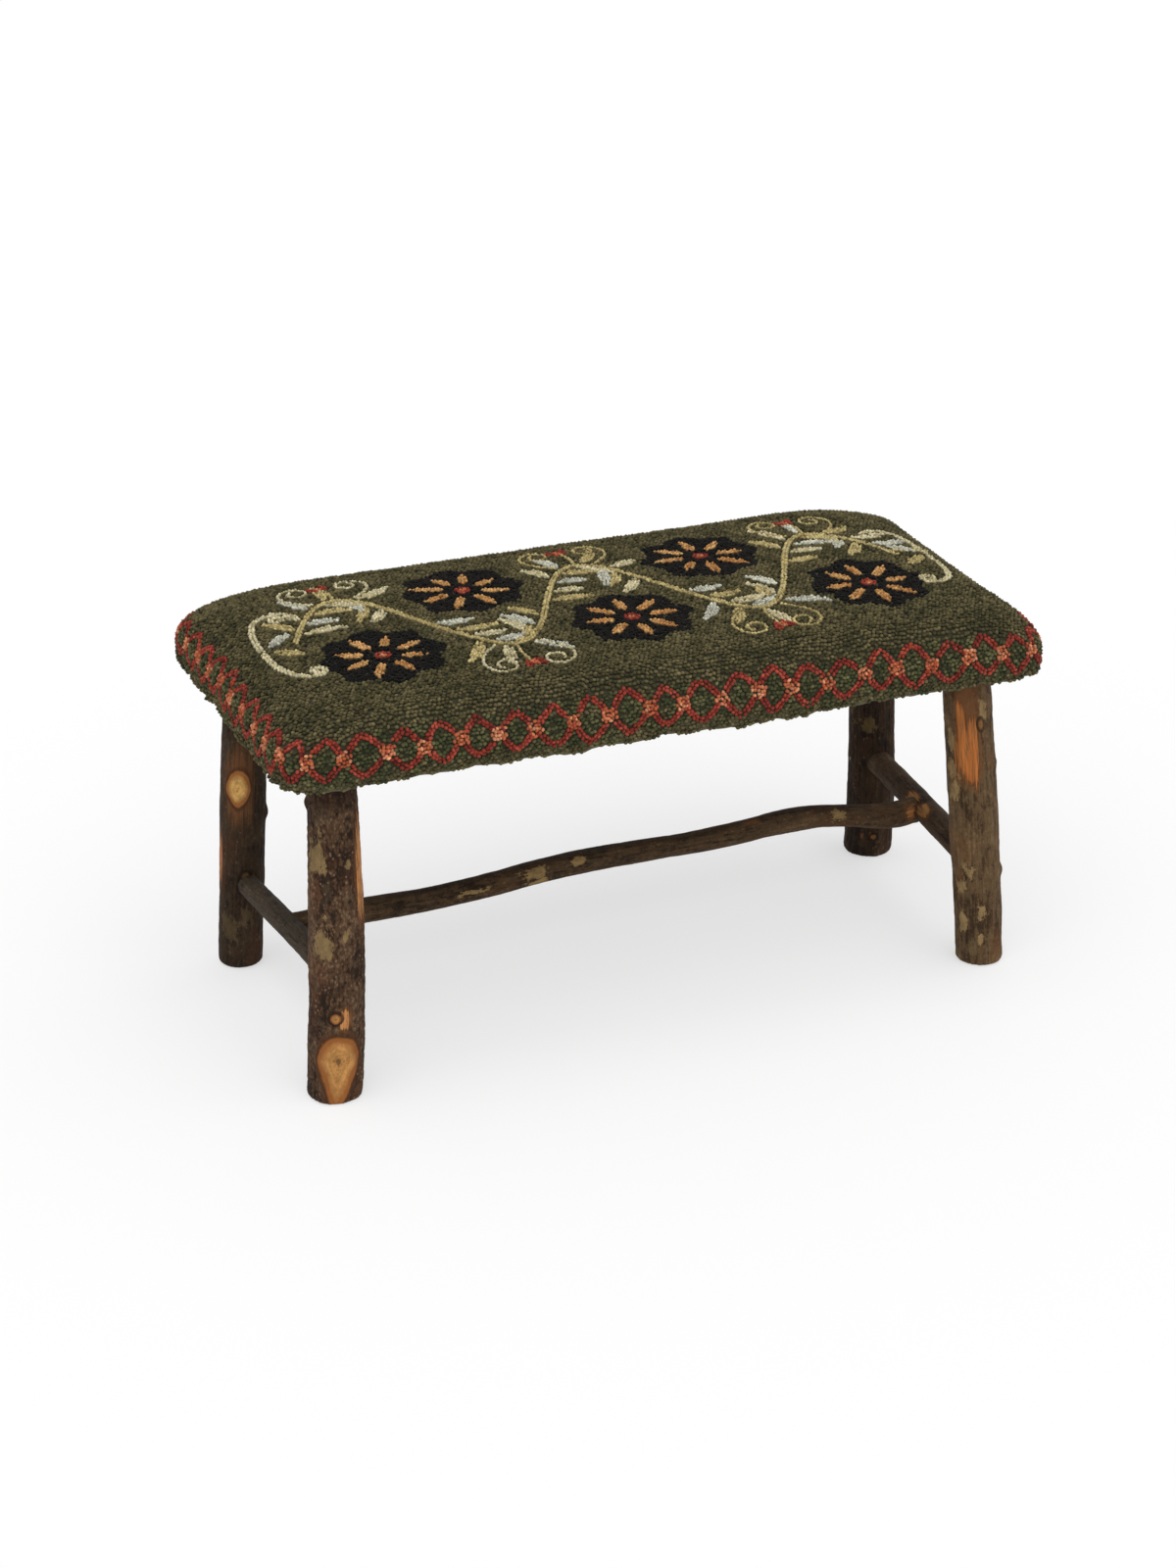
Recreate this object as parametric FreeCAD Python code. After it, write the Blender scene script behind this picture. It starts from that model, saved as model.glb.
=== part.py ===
"""Rustic upholstered bench: bark-on log legs, an H of sticks between them, and a padded seat in a hooked wool cover.

Frame: millimetres, +Z up, +X along the seat to the right, +Y to the rear. The origin is on the floor under the
middle of the seat.
"""

import FreeCAD, Part
import math
import os
from collections import namedtuple

from FreeCAD import Vector

# Seat, outside the wool
SEAT_LENGTH = 815.0
SEAT_WIDTH = 408.0
SEAT_UNDERSIDE = 342.0
CORNER_RADIUS = 40.0
CORNER_SOFTENING = 105.0
SHOULDER_RISE = 48.5
SIDE_SHOULDER = 48.0
END_SHOULDER = 68.0
CROWN_RISE = 5.0
SIDE_WAIST = 4.0
EDGE_ROLL = 5.0

# Layers of the seat, from the outside in
COVER_THICKNESS = 7.0
HEM_THICKNESS = 3.0
HEM_WIDTH = 48.0
BATTING_THICKNESS = 6.0
DECK_THICKNESS = 19.0
DUST_COVER_THICKNESS = 0.8
DUST_COVER_LAP = 24.0
LEG_CLEARANCE = 0.5

# Staples
STAPLE_CROWN = 10.0
STAPLE_WIRE = 1.0
STAPLE_LEG = 9.0
COVER_STAPLE_PITCH = 62.0
COVER_STAPLE_EDGE = 36.0
DUST_STAPLE_PITCH = 95.0
DUST_STAPLE_EDGE = 28.0
STAPLE_LEG_GAP = 12.0

# Legs and how they are fixed
FOOT_CHAMFER = 4.0
LEG_COLLAR = 14.0
LEG_SECTIONS = 7
LEG_TENON_RADIUS = 15.0
DECK_OVER_TENON = 7.0
SCREW_RADIUS = 4.0
SCREW_LENGTH = 70.0
SCREW_HEAD_RADIUS = 7.5
SCREW_HEAD_HEIGHT = 5.0
WASHER_RADIUS = 11.0
WASHER_THICKNESS = 1.6
SCREW_CLEARANCE = 0.3
FOAM_POCKET_CLEARANCE = 1.0

# Rungs and stretcher
RUNG_TENON_RADIUS = 9.5
RUNG_TENON_PAST_AXIS = 6.0
RUNG_BOW = 2.5
STRETCHER_TENON_RADIUS = 8.0
STRETCHER_TENON_PAST_AXIS = 4.0
MORTISE_RELIEF = 1.0
BRAD_RADIUS = 0.9
BRAD_HEAD_RADIUS = 2.0
BRAD_HEAD_THICKNESS = 0.8
BRAD_HEAD_PROUD = 0.4
BRAD_PAST_SHOULDER = 5.0

# A log: its side and end of the seat, how far its top stands in from the seat's edges, how far its foot spreads
# from its top, how far its middle sways off the straight line, and its radius at foot, middle and top
Leg = namedtuple("Leg", "side end inset_x inset_y spread_x spread_y sway_x sway_y "
                        "foot_radius middle_radius top_radius")
LEGS = {
    "front_left_leg": Leg(-1, -1, 64.0, 61.0, 13.0, 20.0, 5.0, 2.0, 28.0, 27.0, 24.0),
    "front_right_leg": Leg(1, -1, 68.5, 68.0, 31.5, 7.0, 1.0, -2.0, 24.5, 26.0, 24.5),
    "rear_left_leg": Leg(-1, 1, 66.5, 64.0, 19.0, 6.0, 0.5, 2.0, 23.5, 24.0, 23.0),
    "rear_right_leg": Leg(1, 1, 45.5, 65.0, 18.0, 4.0, 6.0, -2.0, 27.5, 25.5, 24.0),
}

# A trimmed branch: its place up the leg from 0 at the floor to 1 at the deck, the bearing it points to from +X,
# its face radius and how far it stands out
Knot = namedtuple("Knot", "share bearing radius proud")
KNOTS = {
    "front_left_leg": [Knot(0.136, -104.0, 17.0, 0.5), Knot(0.267, -110.0, 6.0, 1.5), Knot(0.884, 160.0, 5.0, 2.5)],
    "front_right_leg": [Knot(0.304, -22.0, 7.0, 2.5), Knot(0.661, -22.0, 5.0, 1.5)],
    "rear_left_leg": [Knot(0.603, -121.0, 13.0, 1.0), Knot(0.499, -22.0, 6.0, 2.5)],
    "rear_right_leg": [Knot(0.075, -105.0, 9.0, 1.0)],
}
KNOT_FLARE = 1.35

# A rung: its height on the front and rear legs, and its radius
Rung = namedtuple("Rung", "front_leg rear_leg front_height rear_height radius")
RUNGS = {
    "left_rung": Rung("front_left_leg", "rear_left_leg", 119.0, 94.0, 12.0),
    "right_rung": Rung("front_right_leg", "rear_right_leg", 110.0, 117.0, 14.0),
}

# A rung's form: place along it from 0 to 1, share of its bow there, and share of its radius
RUNG_SWELL = 1.03
RUNG_FORM = [(0.0, 0.0, 0.96), (0.25, 0.75, 1.0), (0.5, 1.0, RUNG_SWELL), (0.75, 0.75, 1.0), (1.0, 0.0, 0.96)]

# The stretcher's crooked line: place along it from -1 to 1, rise above the straight line, and radius
Station = namedtuple("Station", "share rise radius")
STRETCHER = [
    Station(-1.0, 0.0, 12.5),
    Station(-0.80, 0.5, 13.0),
    Station(-0.62, -0.5, 13.0),
    Station(-0.38, 3.3, 13.0),
    Station(-0.14, 9.5, 13.0),
    Station(0.12, 8.6, 12.0),
    Station(0.36, 8.5, 12.0),
    Station(0.60, 12.4, 12.5),
    Station(0.69, 9.0, 12.5),
    Station(0.79, 1.8, 13.0),
    Station(1.0, 0.0, 12.5),
]

DECK_BOTTOM = SEAT_UNDERSIDE + HEM_THICKNESS
DECK_TOP = DECK_BOTTOM + DECK_THICKNESS
LEG_TENON_LENGTH = DECK_THICKNESS - DECK_OVER_TENON
SHOULDER_STEPS = 6
CROWN_STEPS = 2
UP = Vector(0, 0, 1)
DOWN = Vector(0, 0, -1)


# Seat forms

def curve(start, middle, end, z):
    """An arc through three points at one height."""
    return Part.Arc(*(Vector(x, y, z) for x, y in (start, middle, end))).toShape()


def rounded_outline(half_x, half_y, radius, z, waist=0.0):
    """Closed outline with round corners; the sides draw in by waist at their middles."""
    x, y = half_x, half_y
    cut = radius * (1 - math.sqrt(0.5))
    sides = [
        ((x, radius - y), (x - waist, 0), (x, y - radius)),
        ((x - radius, y), (0, y - waist), (radius - x, y)),
        ((-x, y - radius), (waist - x, 0), (-x, radius - y)),
        ((radius - x, -y), (0, waist - y), (x - radius, -y)),
    ]
    corners = [(x - cut, y - cut), (cut - x, y - cut), (cut - x, cut - y), (x - cut, cut - y)]
    edges = []
    for i, (start, middle, end) in enumerate(sides):
        if waist:
            edges.append(curve(start, middle, end, z))
        else:
            edges.append(Part.makeLine(Vector(*start, z), Vector(*end, z)))
        following = sides[(i + 1) % len(sides)][0]
        edges.append(curve(end, corners[i], following, z))
    return Part.Wire(edges)


def seat_outline(depth, z, end_inset=0.0, side_inset=0.0, softening=0.0, waist=0.0):
    """The seat's outline, depth below the wool's surface."""
    half_x = SEAT_LENGTH / 2 - depth - end_inset
    half_y = SEAT_WIDTH / 2 - depth - side_inset
    return rounded_outline(half_x, half_y, CORNER_RADIUS - depth + softening, z, waist)


def prism(outline, height):
    return Part.Face(outline).extrude(Vector(0, 0, height))


def seat_form(depth, bottom):
    """The padded form, depth below the wool's surface: straight sides, a round shoulder and a crowned top."""
    sections = [seat_outline(depth, DECK_TOP)]
    rise = SHOULDER_RISE - depth
    end_reach, side_reach = END_SHOULDER - depth, SIDE_SHOULDER - depth
    for step in range(1, SHOULDER_STEPS + 1):
        turn = math.pi / 2 * step / SHOULDER_STEPS
        fall = 1 - math.cos(turn)
        z = DECK_TOP + rise * math.sin(turn)
        waist = SIDE_WAIST * math.sin(turn)
        sections.append(
            seat_outline(depth, z, end_reach * fall, side_reach * fall, CORNER_SOFTENING * fall, waist)
        )
    flat = (SEAT_WIDTH / 2 - SIDE_SHOULDER) / (CROWN_STEPS + 1)
    for step in range(1, CROWN_STEPS + 1):
        share = step / CROWN_STEPS
        z = DECK_TOP + rise + CROWN_RISE * (1 - (1 - share) ** 2)
        end_inset, side_inset = end_reach + flat * step, side_reach + flat * step
        softening = SEAT_WIDTH / 2 - CORNER_RADIUS - side_inset - flat / 2
        waist = SIDE_WAIST * (1 - share / 2)
        sections.append(seat_outline(depth, z, end_inset, side_inset, softening, waist))
    form = Part.makeLoft(sections, True, True)
    if bottom < DECK_TOP:
        form = form.fuse(prism(seat_outline(depth, bottom), DECK_TOP - bottom))
    return form.removeSplitter()


def rolled_edge():
    """What the wool's lower edge loses where it rolls under the seat."""
    upper = SEAT_UNDERSIDE + EDGE_ROLL
    block = prism(seat_outline(-EDGE_ROLL, SEAT_UNDERSIDE), EDGE_ROLL)
    lower = seat_outline(0, SEAT_UNDERSIDE, EDGE_ROLL, EDGE_ROLL)
    kept = Part.makeLoft([lower, seat_outline(0, upper)], True, True)
    return block.cut(kept)


def make_cover():
    body = seat_form(0, SEAT_UNDERSIDE).cut(rolled_edge())
    body = body.cut(seat_form(COVER_THICKNESS, DECK_BOTTOM))
    opening = prism(seat_outline(HEM_WIDTH, SEAT_UNDERSIDE, 0, 0, HEM_WIDTH), HEM_THICKNESS)
    return body.cut(opening)


def make_batting():
    outside = seat_form(COVER_THICKNESS, DECK_BOTTOM)
    return outside.cut(seat_form(COVER_THICKNESS + BATTING_THICKNESS, DECK_BOTTOM))


def make_foam():
    return seat_form(COVER_THICKNESS + BATTING_THICKNESS, DECK_TOP)


def make_deck():
    return prism(seat_outline(COVER_THICKNESS + BATTING_THICKNESS, DECK_BOTTOM), DECK_THICKNESS)


def make_dust_cover():
    z = SEAT_UNDERSIDE - DUST_COVER_THICKNESS
    return prism(seat_outline(DUST_COVER_LAP, z), DUST_COVER_THICKNESS)


# Legs

def leg_share(z):
    return z / DECK_BOTTOM


def leg_centre(leg, z):
    """The middle of the log at a height: a straight lean plus a sway that is largest half-way up."""
    share = leg_share(z)
    bow = 4 * share * (1 - share)
    out_x = SEAT_LENGTH / 2 - leg.inset_x + leg.spread_x * (1 - share)
    out_y = SEAT_WIDTH / 2 - leg.inset_y + leg.spread_y * (1 - share)
    return Vector(leg.side * out_x + leg.sway_x * bow, leg.end * out_y + leg.sway_y * bow, z)


def leg_radius(leg, z):
    """The log's radius at a height, through its foot, middle and top radii."""
    share = leg_share(z)
    foot = (1 - share) * (1 - 2 * share)
    middle = 4 * share * (1 - share)
    top = share * (2 * share - 1)
    return leg.foot_radius * foot + leg.middle_radius * middle + leg.top_radius * top


def circle_wire(centre, normal, radius):
    return Part.Wire([Part.Circle(centre, normal, radius).toShape()])


def knot_stub(leg, knot):
    """A branch cut off flat just outside the bark."""
    bearing = math.radians(knot.bearing)
    outward = Vector(math.cos(bearing), math.sin(bearing), 0)
    height = knot.share * DECK_BOTTOM
    length = leg_radius(leg, height) + knot.proud
    return Part.makeCone(knot.radius * KNOT_FLARE, knot.radius, length, leg_centre(leg, height), outward)


def make_log(name):
    """A leg before its mortises: chamfered foot, tapered log, trimmed branches, collar and top tenon."""
    leg = LEGS[name]
    collar = DECK_BOTTOM - LEG_COLLAR
    heights = [FOOT_CHAMFER + (collar - FOOT_CHAMFER) * i / (LEG_SECTIONS - 1) for i in range(LEG_SECTIONS)]
    log = Part.makeLoft([circle_wire(leg_centre(leg, z), UP, leg_radius(leg, z)) for z in heights], True, False)
    foot = leg_centre(leg, FOOT_CHAMFER)
    foot_radius = leg_radius(leg, FOOT_CHAMFER)
    foot.z = 0
    log = log.fuse(Part.makeCone(foot_radius - FOOT_CHAMFER, foot_radius, FOOT_CHAMFER, foot, UP))
    for knot in KNOTS[name]:
        log = log.fuse(knot_stub(leg, knot))
    top = leg_centre(leg, collar)
    log = log.fuse(Part.makeCylinder(leg_radius(leg, collar), LEG_COLLAR, top, UP))
    top.z = DECK_BOTTOM
    return log.fuse(Part.makeCylinder(LEG_TENON_RADIUS, LEG_TENON_LENGTH, top, UP))


def leg_top(leg):
    """Middle of the leg's shoulder, against the underside of the deck."""
    top = leg_centre(leg, DECK_BOTTOM - LEG_COLLAR)
    top.z = DECK_BOTTOM
    return top


def collar_hole(leg):
    """Room for a leg's collar through the hem and the dust cover."""
    radius = leg_radius(leg, DECK_BOTTOM - LEG_COLLAR) + LEG_CLEARANCE
    bottom = leg_top(leg) - UP * LEG_COLLAR
    return Part.makeCylinder(radius, LEG_COLLAR, bottom, UP)


# Screws through the deck into the legs

def screw_seat(leg):
    """Where a leg's screw meets the washer on the deck."""
    seat = leg_top(leg)
    seat.z = DECK_TOP + WASHER_THICKNESS
    return seat


def make_screw(leg):
    shank = Part.makeCylinder(SCREW_RADIUS, SCREW_LENGTH, screw_seat(leg), DOWN)
    return shank.fuse(Part.makeCylinder(SCREW_HEAD_RADIUS, SCREW_HEAD_HEIGHT, screw_seat(leg), UP)).removeSplitter()


def make_washer(leg):
    ring = Part.makeCylinder(WASHER_RADIUS, WASHER_THICKNESS, screw_seat(leg), DOWN)
    return ring.cut(Part.makeCylinder(SCREW_RADIUS + SCREW_CLEARANCE, WASHER_THICKNESS, screw_seat(leg), DOWN))


def screw_bore(leg, clearance, length):
    return Part.makeCylinder(SCREW_RADIUS + clearance, length, screw_seat(leg), DOWN)


def head_pocket(leg):
    height = WASHER_THICKNESS + SCREW_HEAD_HEIGHT + FOAM_POCKET_CLEARANCE
    base = screw_seat(leg) - UP * WASHER_THICKNESS
    return Part.makeCylinder(WASHER_RADIUS + FOAM_POCKET_CLEARANCE, height, base, UP)


# Rungs and stretcher

def rung_ends(rung):
    """The rung's axis from the middle of the front leg to the middle of the rear leg."""
    front = leg_centre(LEGS[rung.front_leg], rung.front_height)
    rear = leg_centre(LEGS[rung.rear_leg], rung.rear_height)
    return front, rear


def rung_middle(rung):
    front, rear = rung_ends(rung)
    return (front + rear) / 2


def rung_direction(rung):
    front, rear = rung_ends(rung)
    return (rear - front).normalize()


def make_stick(rung):
    """A rung before it is fitted: a slightly bowed stick between the leg axes."""
    front, rear = rung_ends(rung)
    along = rung_direction(rung)
    sections = []
    for share, bow, swell in RUNG_FORM:
        middle = front + (rear - front) * share + UP * RUNG_BOW * bow
        sections.append(circle_wire(middle, along, rung.radius * swell))
    return Part.makeLoft(sections, True, False)


def rung_tenons(rung, relief=0.0):
    """The round ends of a rung inside its legs, or their mortises when relief is added."""
    front, rear = rung_ends(rung)
    along = rung_direction(rung)
    reach = RUNG_TENON_PAST_AXIS + relief
    length = LEGS[rung.front_leg].middle_radius * 2 + reach
    return [
        Part.makeCylinder(RUNG_TENON_RADIUS, length, front - along * reach, along),
        Part.makeCylinder(RUNG_TENON_RADIUS, length, rear + along * reach, along * -1),
    ]


def stretcher_ends():
    left, right = (rung_middle(RUNGS[name]) for name in ("left_rung", "right_rung"))
    return left + UP * RUNG_BOW, right + UP * RUNG_BOW


def make_crooked_stick():
    """The stretcher before it is fitted: a crooked stick between the middles of the rungs."""
    left, right = stretcher_ends()
    along = (right - left).normalize()
    sections = []
    for station in STRETCHER:
        middle = left + (right - left) * ((station.share + 1) / 2) + UP * station.rise
        sections.append(circle_wire(middle, along, station.radius))
    return Part.makeLoft(sections, True, False)


def stretcher_tenons(relief=0.0):
    left, right = stretcher_ends()
    along = (right - left).normalize()
    reach = STRETCHER_TENON_PAST_AXIS + relief
    length = max(rung.radius for rung in RUNGS.values()) * 2 + reach
    return [
        Part.makeCylinder(STRETCHER_TENON_RADIUS, length, left - along * reach, along),
        Part.makeCylinder(STRETCHER_TENON_RADIUS, length, right + along * reach, along * -1),
    ]


def fitted(stick, carriers, tenons):
    """A stick scribed to the round pieces at its ends, with a tenon into each."""
    for carrier in carriers:
        stick = stick.cut(carrier)
    for tenon in tenons:
        stick = stick.fuse(tenon)
    return stick


def make_brad(surface, inward, depth):
    """A small nail, its head half sunk in the bark."""
    outside = surface - inward * BRAD_HEAD_PROUD
    head = Part.makeCylinder(BRAD_HEAD_RADIUS, BRAD_HEAD_THICKNESS, outside, inward)
    return head.fuse(Part.makeCylinder(BRAD_RADIUS, depth, outside, inward)).removeSplitter()


def joint_brads():
    """One nail through each leg into a rung's tenon, and one through each rung into the stretcher's tenon."""
    brads = []
    for rung in RUNGS.values():
        for name, height in ((rung.front_leg, rung.front_height), (rung.rear_leg, rung.rear_height)):
            leg = LEGS[name]
            inward = Vector(leg.side, 0, 0)
            radius = leg_radius(leg, height)
            depth = radius - RUNG_TENON_RADIUS + BRAD_PAST_SHOULDER
            brads.append(make_brad(leg_centre(leg, height) - inward * radius, inward, depth))
    for rung, end in zip(RUNGS.values(), stretcher_ends()):
        radius = rung.radius * RUNG_SWELL
        depth = radius - STRETCHER_TENON_RADIUS + BRAD_PAST_SHOULDER
        brads.append(make_brad(end - UP * radius, UP, depth))
    return brads


# Staples

def make_staple(place, along, surface):
    """A wire staple driven up from below: crown on the surface, legs into the deck."""
    across = Vector(-along.y, along.x, 0)
    wire = STAPLE_WIRE

    def bar(start, length, height):
        corner = start - across * (wire / 2)
        edges = [corner, corner + along * length, corner + along * length + across * wire, corner + across * wire]
        return Part.Face(Part.makePolygon(edges + edges[:1])).extrude(UP * height)

    low = Vector(place.x, place.y, surface - wire) - along * (STAPLE_CROWN / 2)
    crown = bar(low, STAPLE_CROWN, wire)
    near = bar(low, wire, wire + STAPLE_LEG)
    far = bar(low + along * (STAPLE_CROWN - wire), wire, wire + STAPLE_LEG)
    return crown.fuse([near, far]).removeSplitter()


def staple_row(edge, pitch, surface):
    """Staples in from the seat's edge along its four sides, clear of the legs."""
    half_x, half_y = SEAT_LENGTH / 2 - edge, SEAT_WIDTH / 2 - edge
    staples = []
    for along, half, offset in ((Vector(1, 0, 0), half_x, half_y), (Vector(0, 1, 0), half_y, half_x)):
        across = Vector(-along.y, along.x, 0)
        count = int((2 * half - STAPLE_CROWN) / pitch)
        for side in (-1, 1):
            for i in range(count + 1):
                place = along * ((i - count / 2) * pitch) + across * (side * offset)
                if all(clear_of_leg(place, leg) for leg in LEGS.values()):
                    staples.append(make_staple(place, along, surface))
    return staples


def clear_of_leg(place, leg):
    top = leg_top(leg)
    room = leg.top_radius + LEG_CLEARANCE + STAPLE_LEG_GAP
    return math.hypot(place.x - top.x, place.y - top.y) > room


# Assembly

def build():
    logs = {name: make_log(name) for name in LEGS}
    sticks = {name: make_stick(rung) for name, rung in RUNGS.items()}
    screws = [make_screw(leg) for leg in LEGS.values()]
    washers = [make_washer(leg) for leg in LEGS.values()]
    brads = joint_brads()
    cover_staples = staple_row(COVER_STAPLE_EDGE, COVER_STAPLE_PITCH, SEAT_UNDERSIDE + STAPLE_WIRE)
    dust_staples = staple_row(DUST_STAPLE_EDGE, DUST_STAPLE_PITCH, SEAT_UNDERSIDE - DUST_COVER_THICKNESS)
    collars = [collar_hole(leg) for leg in LEGS.values()]
    nodes = {}

    for rung_name, rung in RUNGS.items():
        carriers = [logs[rung.front_leg], logs[rung.rear_leg]]
        stick = fitted(sticks[rung_name], carriers, rung_tenons(rung))
        nodes[rung_name] = stick.cut(stretcher_tenons(MORTISE_RELIEF) + brads)
    nodes["centre_stretcher"] = fitted(make_crooked_stick(), list(sticks.values()), stretcher_tenons()).cut(brads)

    for name, leg in LEGS.items():
        rung = next(r for r in RUNGS.values() if name in (r.front_leg, r.rear_leg))
        bores = rung_tenons(rung, MORTISE_RELIEF) + [screw_bore(leg, 0, SCREW_LENGTH)] + brads
        nodes[name] = logs[name].cut(bores)

    deck_sockets = [
        Part.makeCylinder(LEG_TENON_RADIUS, LEG_TENON_LENGTH, leg_top(leg), UP) for leg in LEGS.values()
    ]
    deck_bores = [screw_bore(leg, SCREW_CLEARANCE, SCREW_LENGTH) for leg in LEGS.values()]
    nodes["seat_deck"] = make_deck().cut(deck_sockets + deck_bores + cover_staples + dust_staples)
    nodes["seat_foam"] = make_foam().cut([head_pocket(leg) for leg in LEGS.values()])
    nodes["seat_batting"] = make_batting()
    nodes["hooked_cover"] = make_cover().cut(collars + cover_staples + dust_staples)
    nodes["dust_cover"] = make_dust_cover().cut(collars + dust_staples)
    nodes["cover_staples"] = Part.makeCompound(cover_staples)
    nodes["dust_cover_staples"] = Part.makeCompound(dust_staples)
    nodes["leg_screws"] = Part.makeCompound(screws)
    nodes["leg_washers"] = Part.makeCompound(washers)
    nodes["joint_brads"] = Part.makeCompound(brads)
    return nodes


def export(nodes):
    os.makedirs("parts", exist_ok=True)
    for name, shape in nodes.items():
        solids = shape.Solids
        whole = solids[0] if len(solids) == 1 else Part.makeCompound(solids)
        whole.exportStep(os.path.join("parts", name + ".step"))
        box = whole.BoundBox
        print(f"{name}: {len(solids)} solid(s), valid {whole.isValid()}, volume {whole.Volume / 1000:.1f} cm3, "
              f"x {box.XMin:.1f}..{box.XMax:.1f}, y {box.YMin:.1f}..{box.YMax:.1f}, z {box.ZMin:.1f}..{box.ZMax:.1f}")


export(build())
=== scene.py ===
import math
from collections import namedtuple
from itertools import product

import bpy
import numpy as np
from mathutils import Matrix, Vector
from mathutils.bvhtree import BVHTree
from mathutils.kdtree import KDTree


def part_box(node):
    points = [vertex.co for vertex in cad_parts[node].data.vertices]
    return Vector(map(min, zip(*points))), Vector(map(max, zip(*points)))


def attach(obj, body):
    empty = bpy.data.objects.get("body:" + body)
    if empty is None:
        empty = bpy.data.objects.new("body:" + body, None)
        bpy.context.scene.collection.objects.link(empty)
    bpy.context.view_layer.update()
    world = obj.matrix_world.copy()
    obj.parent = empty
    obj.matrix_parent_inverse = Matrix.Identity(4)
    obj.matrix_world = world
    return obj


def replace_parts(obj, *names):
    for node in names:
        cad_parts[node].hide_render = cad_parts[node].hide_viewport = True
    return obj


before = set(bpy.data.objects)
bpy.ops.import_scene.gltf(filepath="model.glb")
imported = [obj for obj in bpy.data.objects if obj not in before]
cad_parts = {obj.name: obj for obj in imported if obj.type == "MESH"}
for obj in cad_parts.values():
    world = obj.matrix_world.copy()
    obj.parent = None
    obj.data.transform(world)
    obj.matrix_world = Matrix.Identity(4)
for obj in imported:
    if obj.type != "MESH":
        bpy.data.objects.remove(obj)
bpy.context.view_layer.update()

# Looks of a rustic upholstered bench: bark-on logs and sticks, a hooked wool cover, padding and fixings.
# All in metres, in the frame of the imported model: +X along the seat, -Y to the front, +Z up from the floor.

MM = 0.001
TAU = math.tau
RIGHT, BACK, UP = np.eye(3)
LEGS = "front_left_leg", "front_right_leg", "rear_left_leg", "rear_right_leg"
LEVEL_SLACK = 0.1 * MM


# Numbers and noise

HASH_FACTORS = np.array([374761393, 668265263, 1440662683])
HASH_MIX = 1274126177
LOW_32_BITS, LOW_16_BITS = 0xFFFFFFFF, 0xFFFF
# Seeds of the random draws, and of the noise in each of its uses
CHANCE_SEED = 11
COVER_SEED, EDGE_SEED, DRIFT_SEED, MOSS_SEED, STRAND_SEED = 3, 5, 8, 9, 21
FOAM_SEED, BATTING_SEED, SLACK_SEED, DRAWN_SEED, PUCKER_SEED = 31, 33, 41, 42, 43


def colour(red, green, blue):
    """A colour as the eye names it, each part from 0 to 255, in linear light."""
    shares = np.array([red, green, blue]) / 255
    return np.where(shares <= 0.04045, shares / 12.92, ((shares + 0.055) / 1.055) ** 2.4)


def unit(vectors):
    return vectors / np.linalg.norm(vectors, axis=-1, keepdims=True)


def smooth_step(low, high, values):
    share = np.clip((values - low) / (high - low), 0, 1)
    return share * share * (3 - 2 * share)


def lattice(cells, seed):
    """A repeatable number from 0 to 1 for each whole-number grid point."""
    mixed = ((cells * HASH_FACTORS).sum(1) + seed * HASH_MIX) & LOW_32_BITS
    mixed = ((mixed ^ (mixed >> 13)) * HASH_MIX) & LOW_32_BITS
    return ((mixed ^ (mixed >> 16)) & LOW_16_BITS) / LOW_16_BITS


def noise(points, size, seed):
    """Smooth noise from -1 to 1; its bumps are sized in millimetres, by one number or one for each axis."""
    places = np.asarray(points) / np.multiply(size, MM)
    cells = np.floor(places).astype(np.int64)
    share = smooth_step(0, 1, places - cells)
    total = np.zeros(len(places))
    for corner in product((0, 1), repeat=3):
        weight = np.prod(np.where(corner, share, 1 - share), axis=1)
        total += weight * lattice(cells + corner, seed)
    return 2 * total - 1


def layered(points, layers, seed):
    """Noise in layers, each with its share and the size of its bumps."""
    return sum(share * noise(points, size, seed + i) for i, (share, size) in enumerate(layers))


def at_floor(places):
    """Places, or points seen from above, as points at height 0."""
    return np.column_stack([places[:, :2], np.zeros(len(places))])


def ways_at(angles):
    """Flat directions at angles from +X."""
    return np.stack([np.cos(angles), np.sin(angles)], -1)


def running_length(line):
    return np.append(0, np.linalg.norm(np.diff(line, axis=0), axis=1).cumsum())


def points_at(at, length, line):
    """Points of a line at lengths along it."""
    return np.column_stack([np.interp(at, length, column) for column in line.T])


def search_tree(points):
    tree = KDTree(len(points))
    for i, point in enumerate(points):
        tree.insert(point, i)
    tree.balance()
    return tree


# Meshes

def placed(name, data):
    """A new object in the scene."""
    made = bpy.data.objects.new(name, data)
    bpy.context.scene.collection.objects.link(made)
    return made


def new_piece(name, slot, material, points, quads, triangles=()):
    """A smooth mesh on the part's one body, from arrays of points and of faces."""
    quads, triangles = np.reshape(quads, (-1, 4)), np.reshape(triangles, (-1, 3))
    corners = np.concatenate([quads.ravel(), triangles.ravel()])
    starts = np.concatenate([4 * np.arange(len(quads)), quads.size + 3 * np.arange(len(triangles))])
    mesh = bpy.data.meshes.new(name)
    mesh.vertices.add(len(points))
    mesh.vertices.foreach_set("co", np.ravel(points).astype(np.float32))
    mesh.loops.add(len(corners))
    mesh.loops.foreach_set("vertex_index", corners.astype(np.int32))
    mesh.polygons.add(len(starts))
    mesh.polygons.foreach_set("loop_start", starts.astype(np.int32))
    mesh.update(calc_edges=True)
    mesh.validate()
    mesh.shade_smooth()
    mesh.materials.append(material)
    piece = placed(name, mesh)
    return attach(piece, "root")


def store(piece, name, values):
    """Keeps one number, or one vector, for each point of a piece."""
    kind, key = ("FLOAT_VECTOR", "vector") if np.ndim(values) == 2 else ("FLOAT", "value")
    attribute = piece.data.attributes.new(name, kind, "POINT")
    attribute.data.foreach_set(key, np.ravel(values).astype(np.float32))


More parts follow.
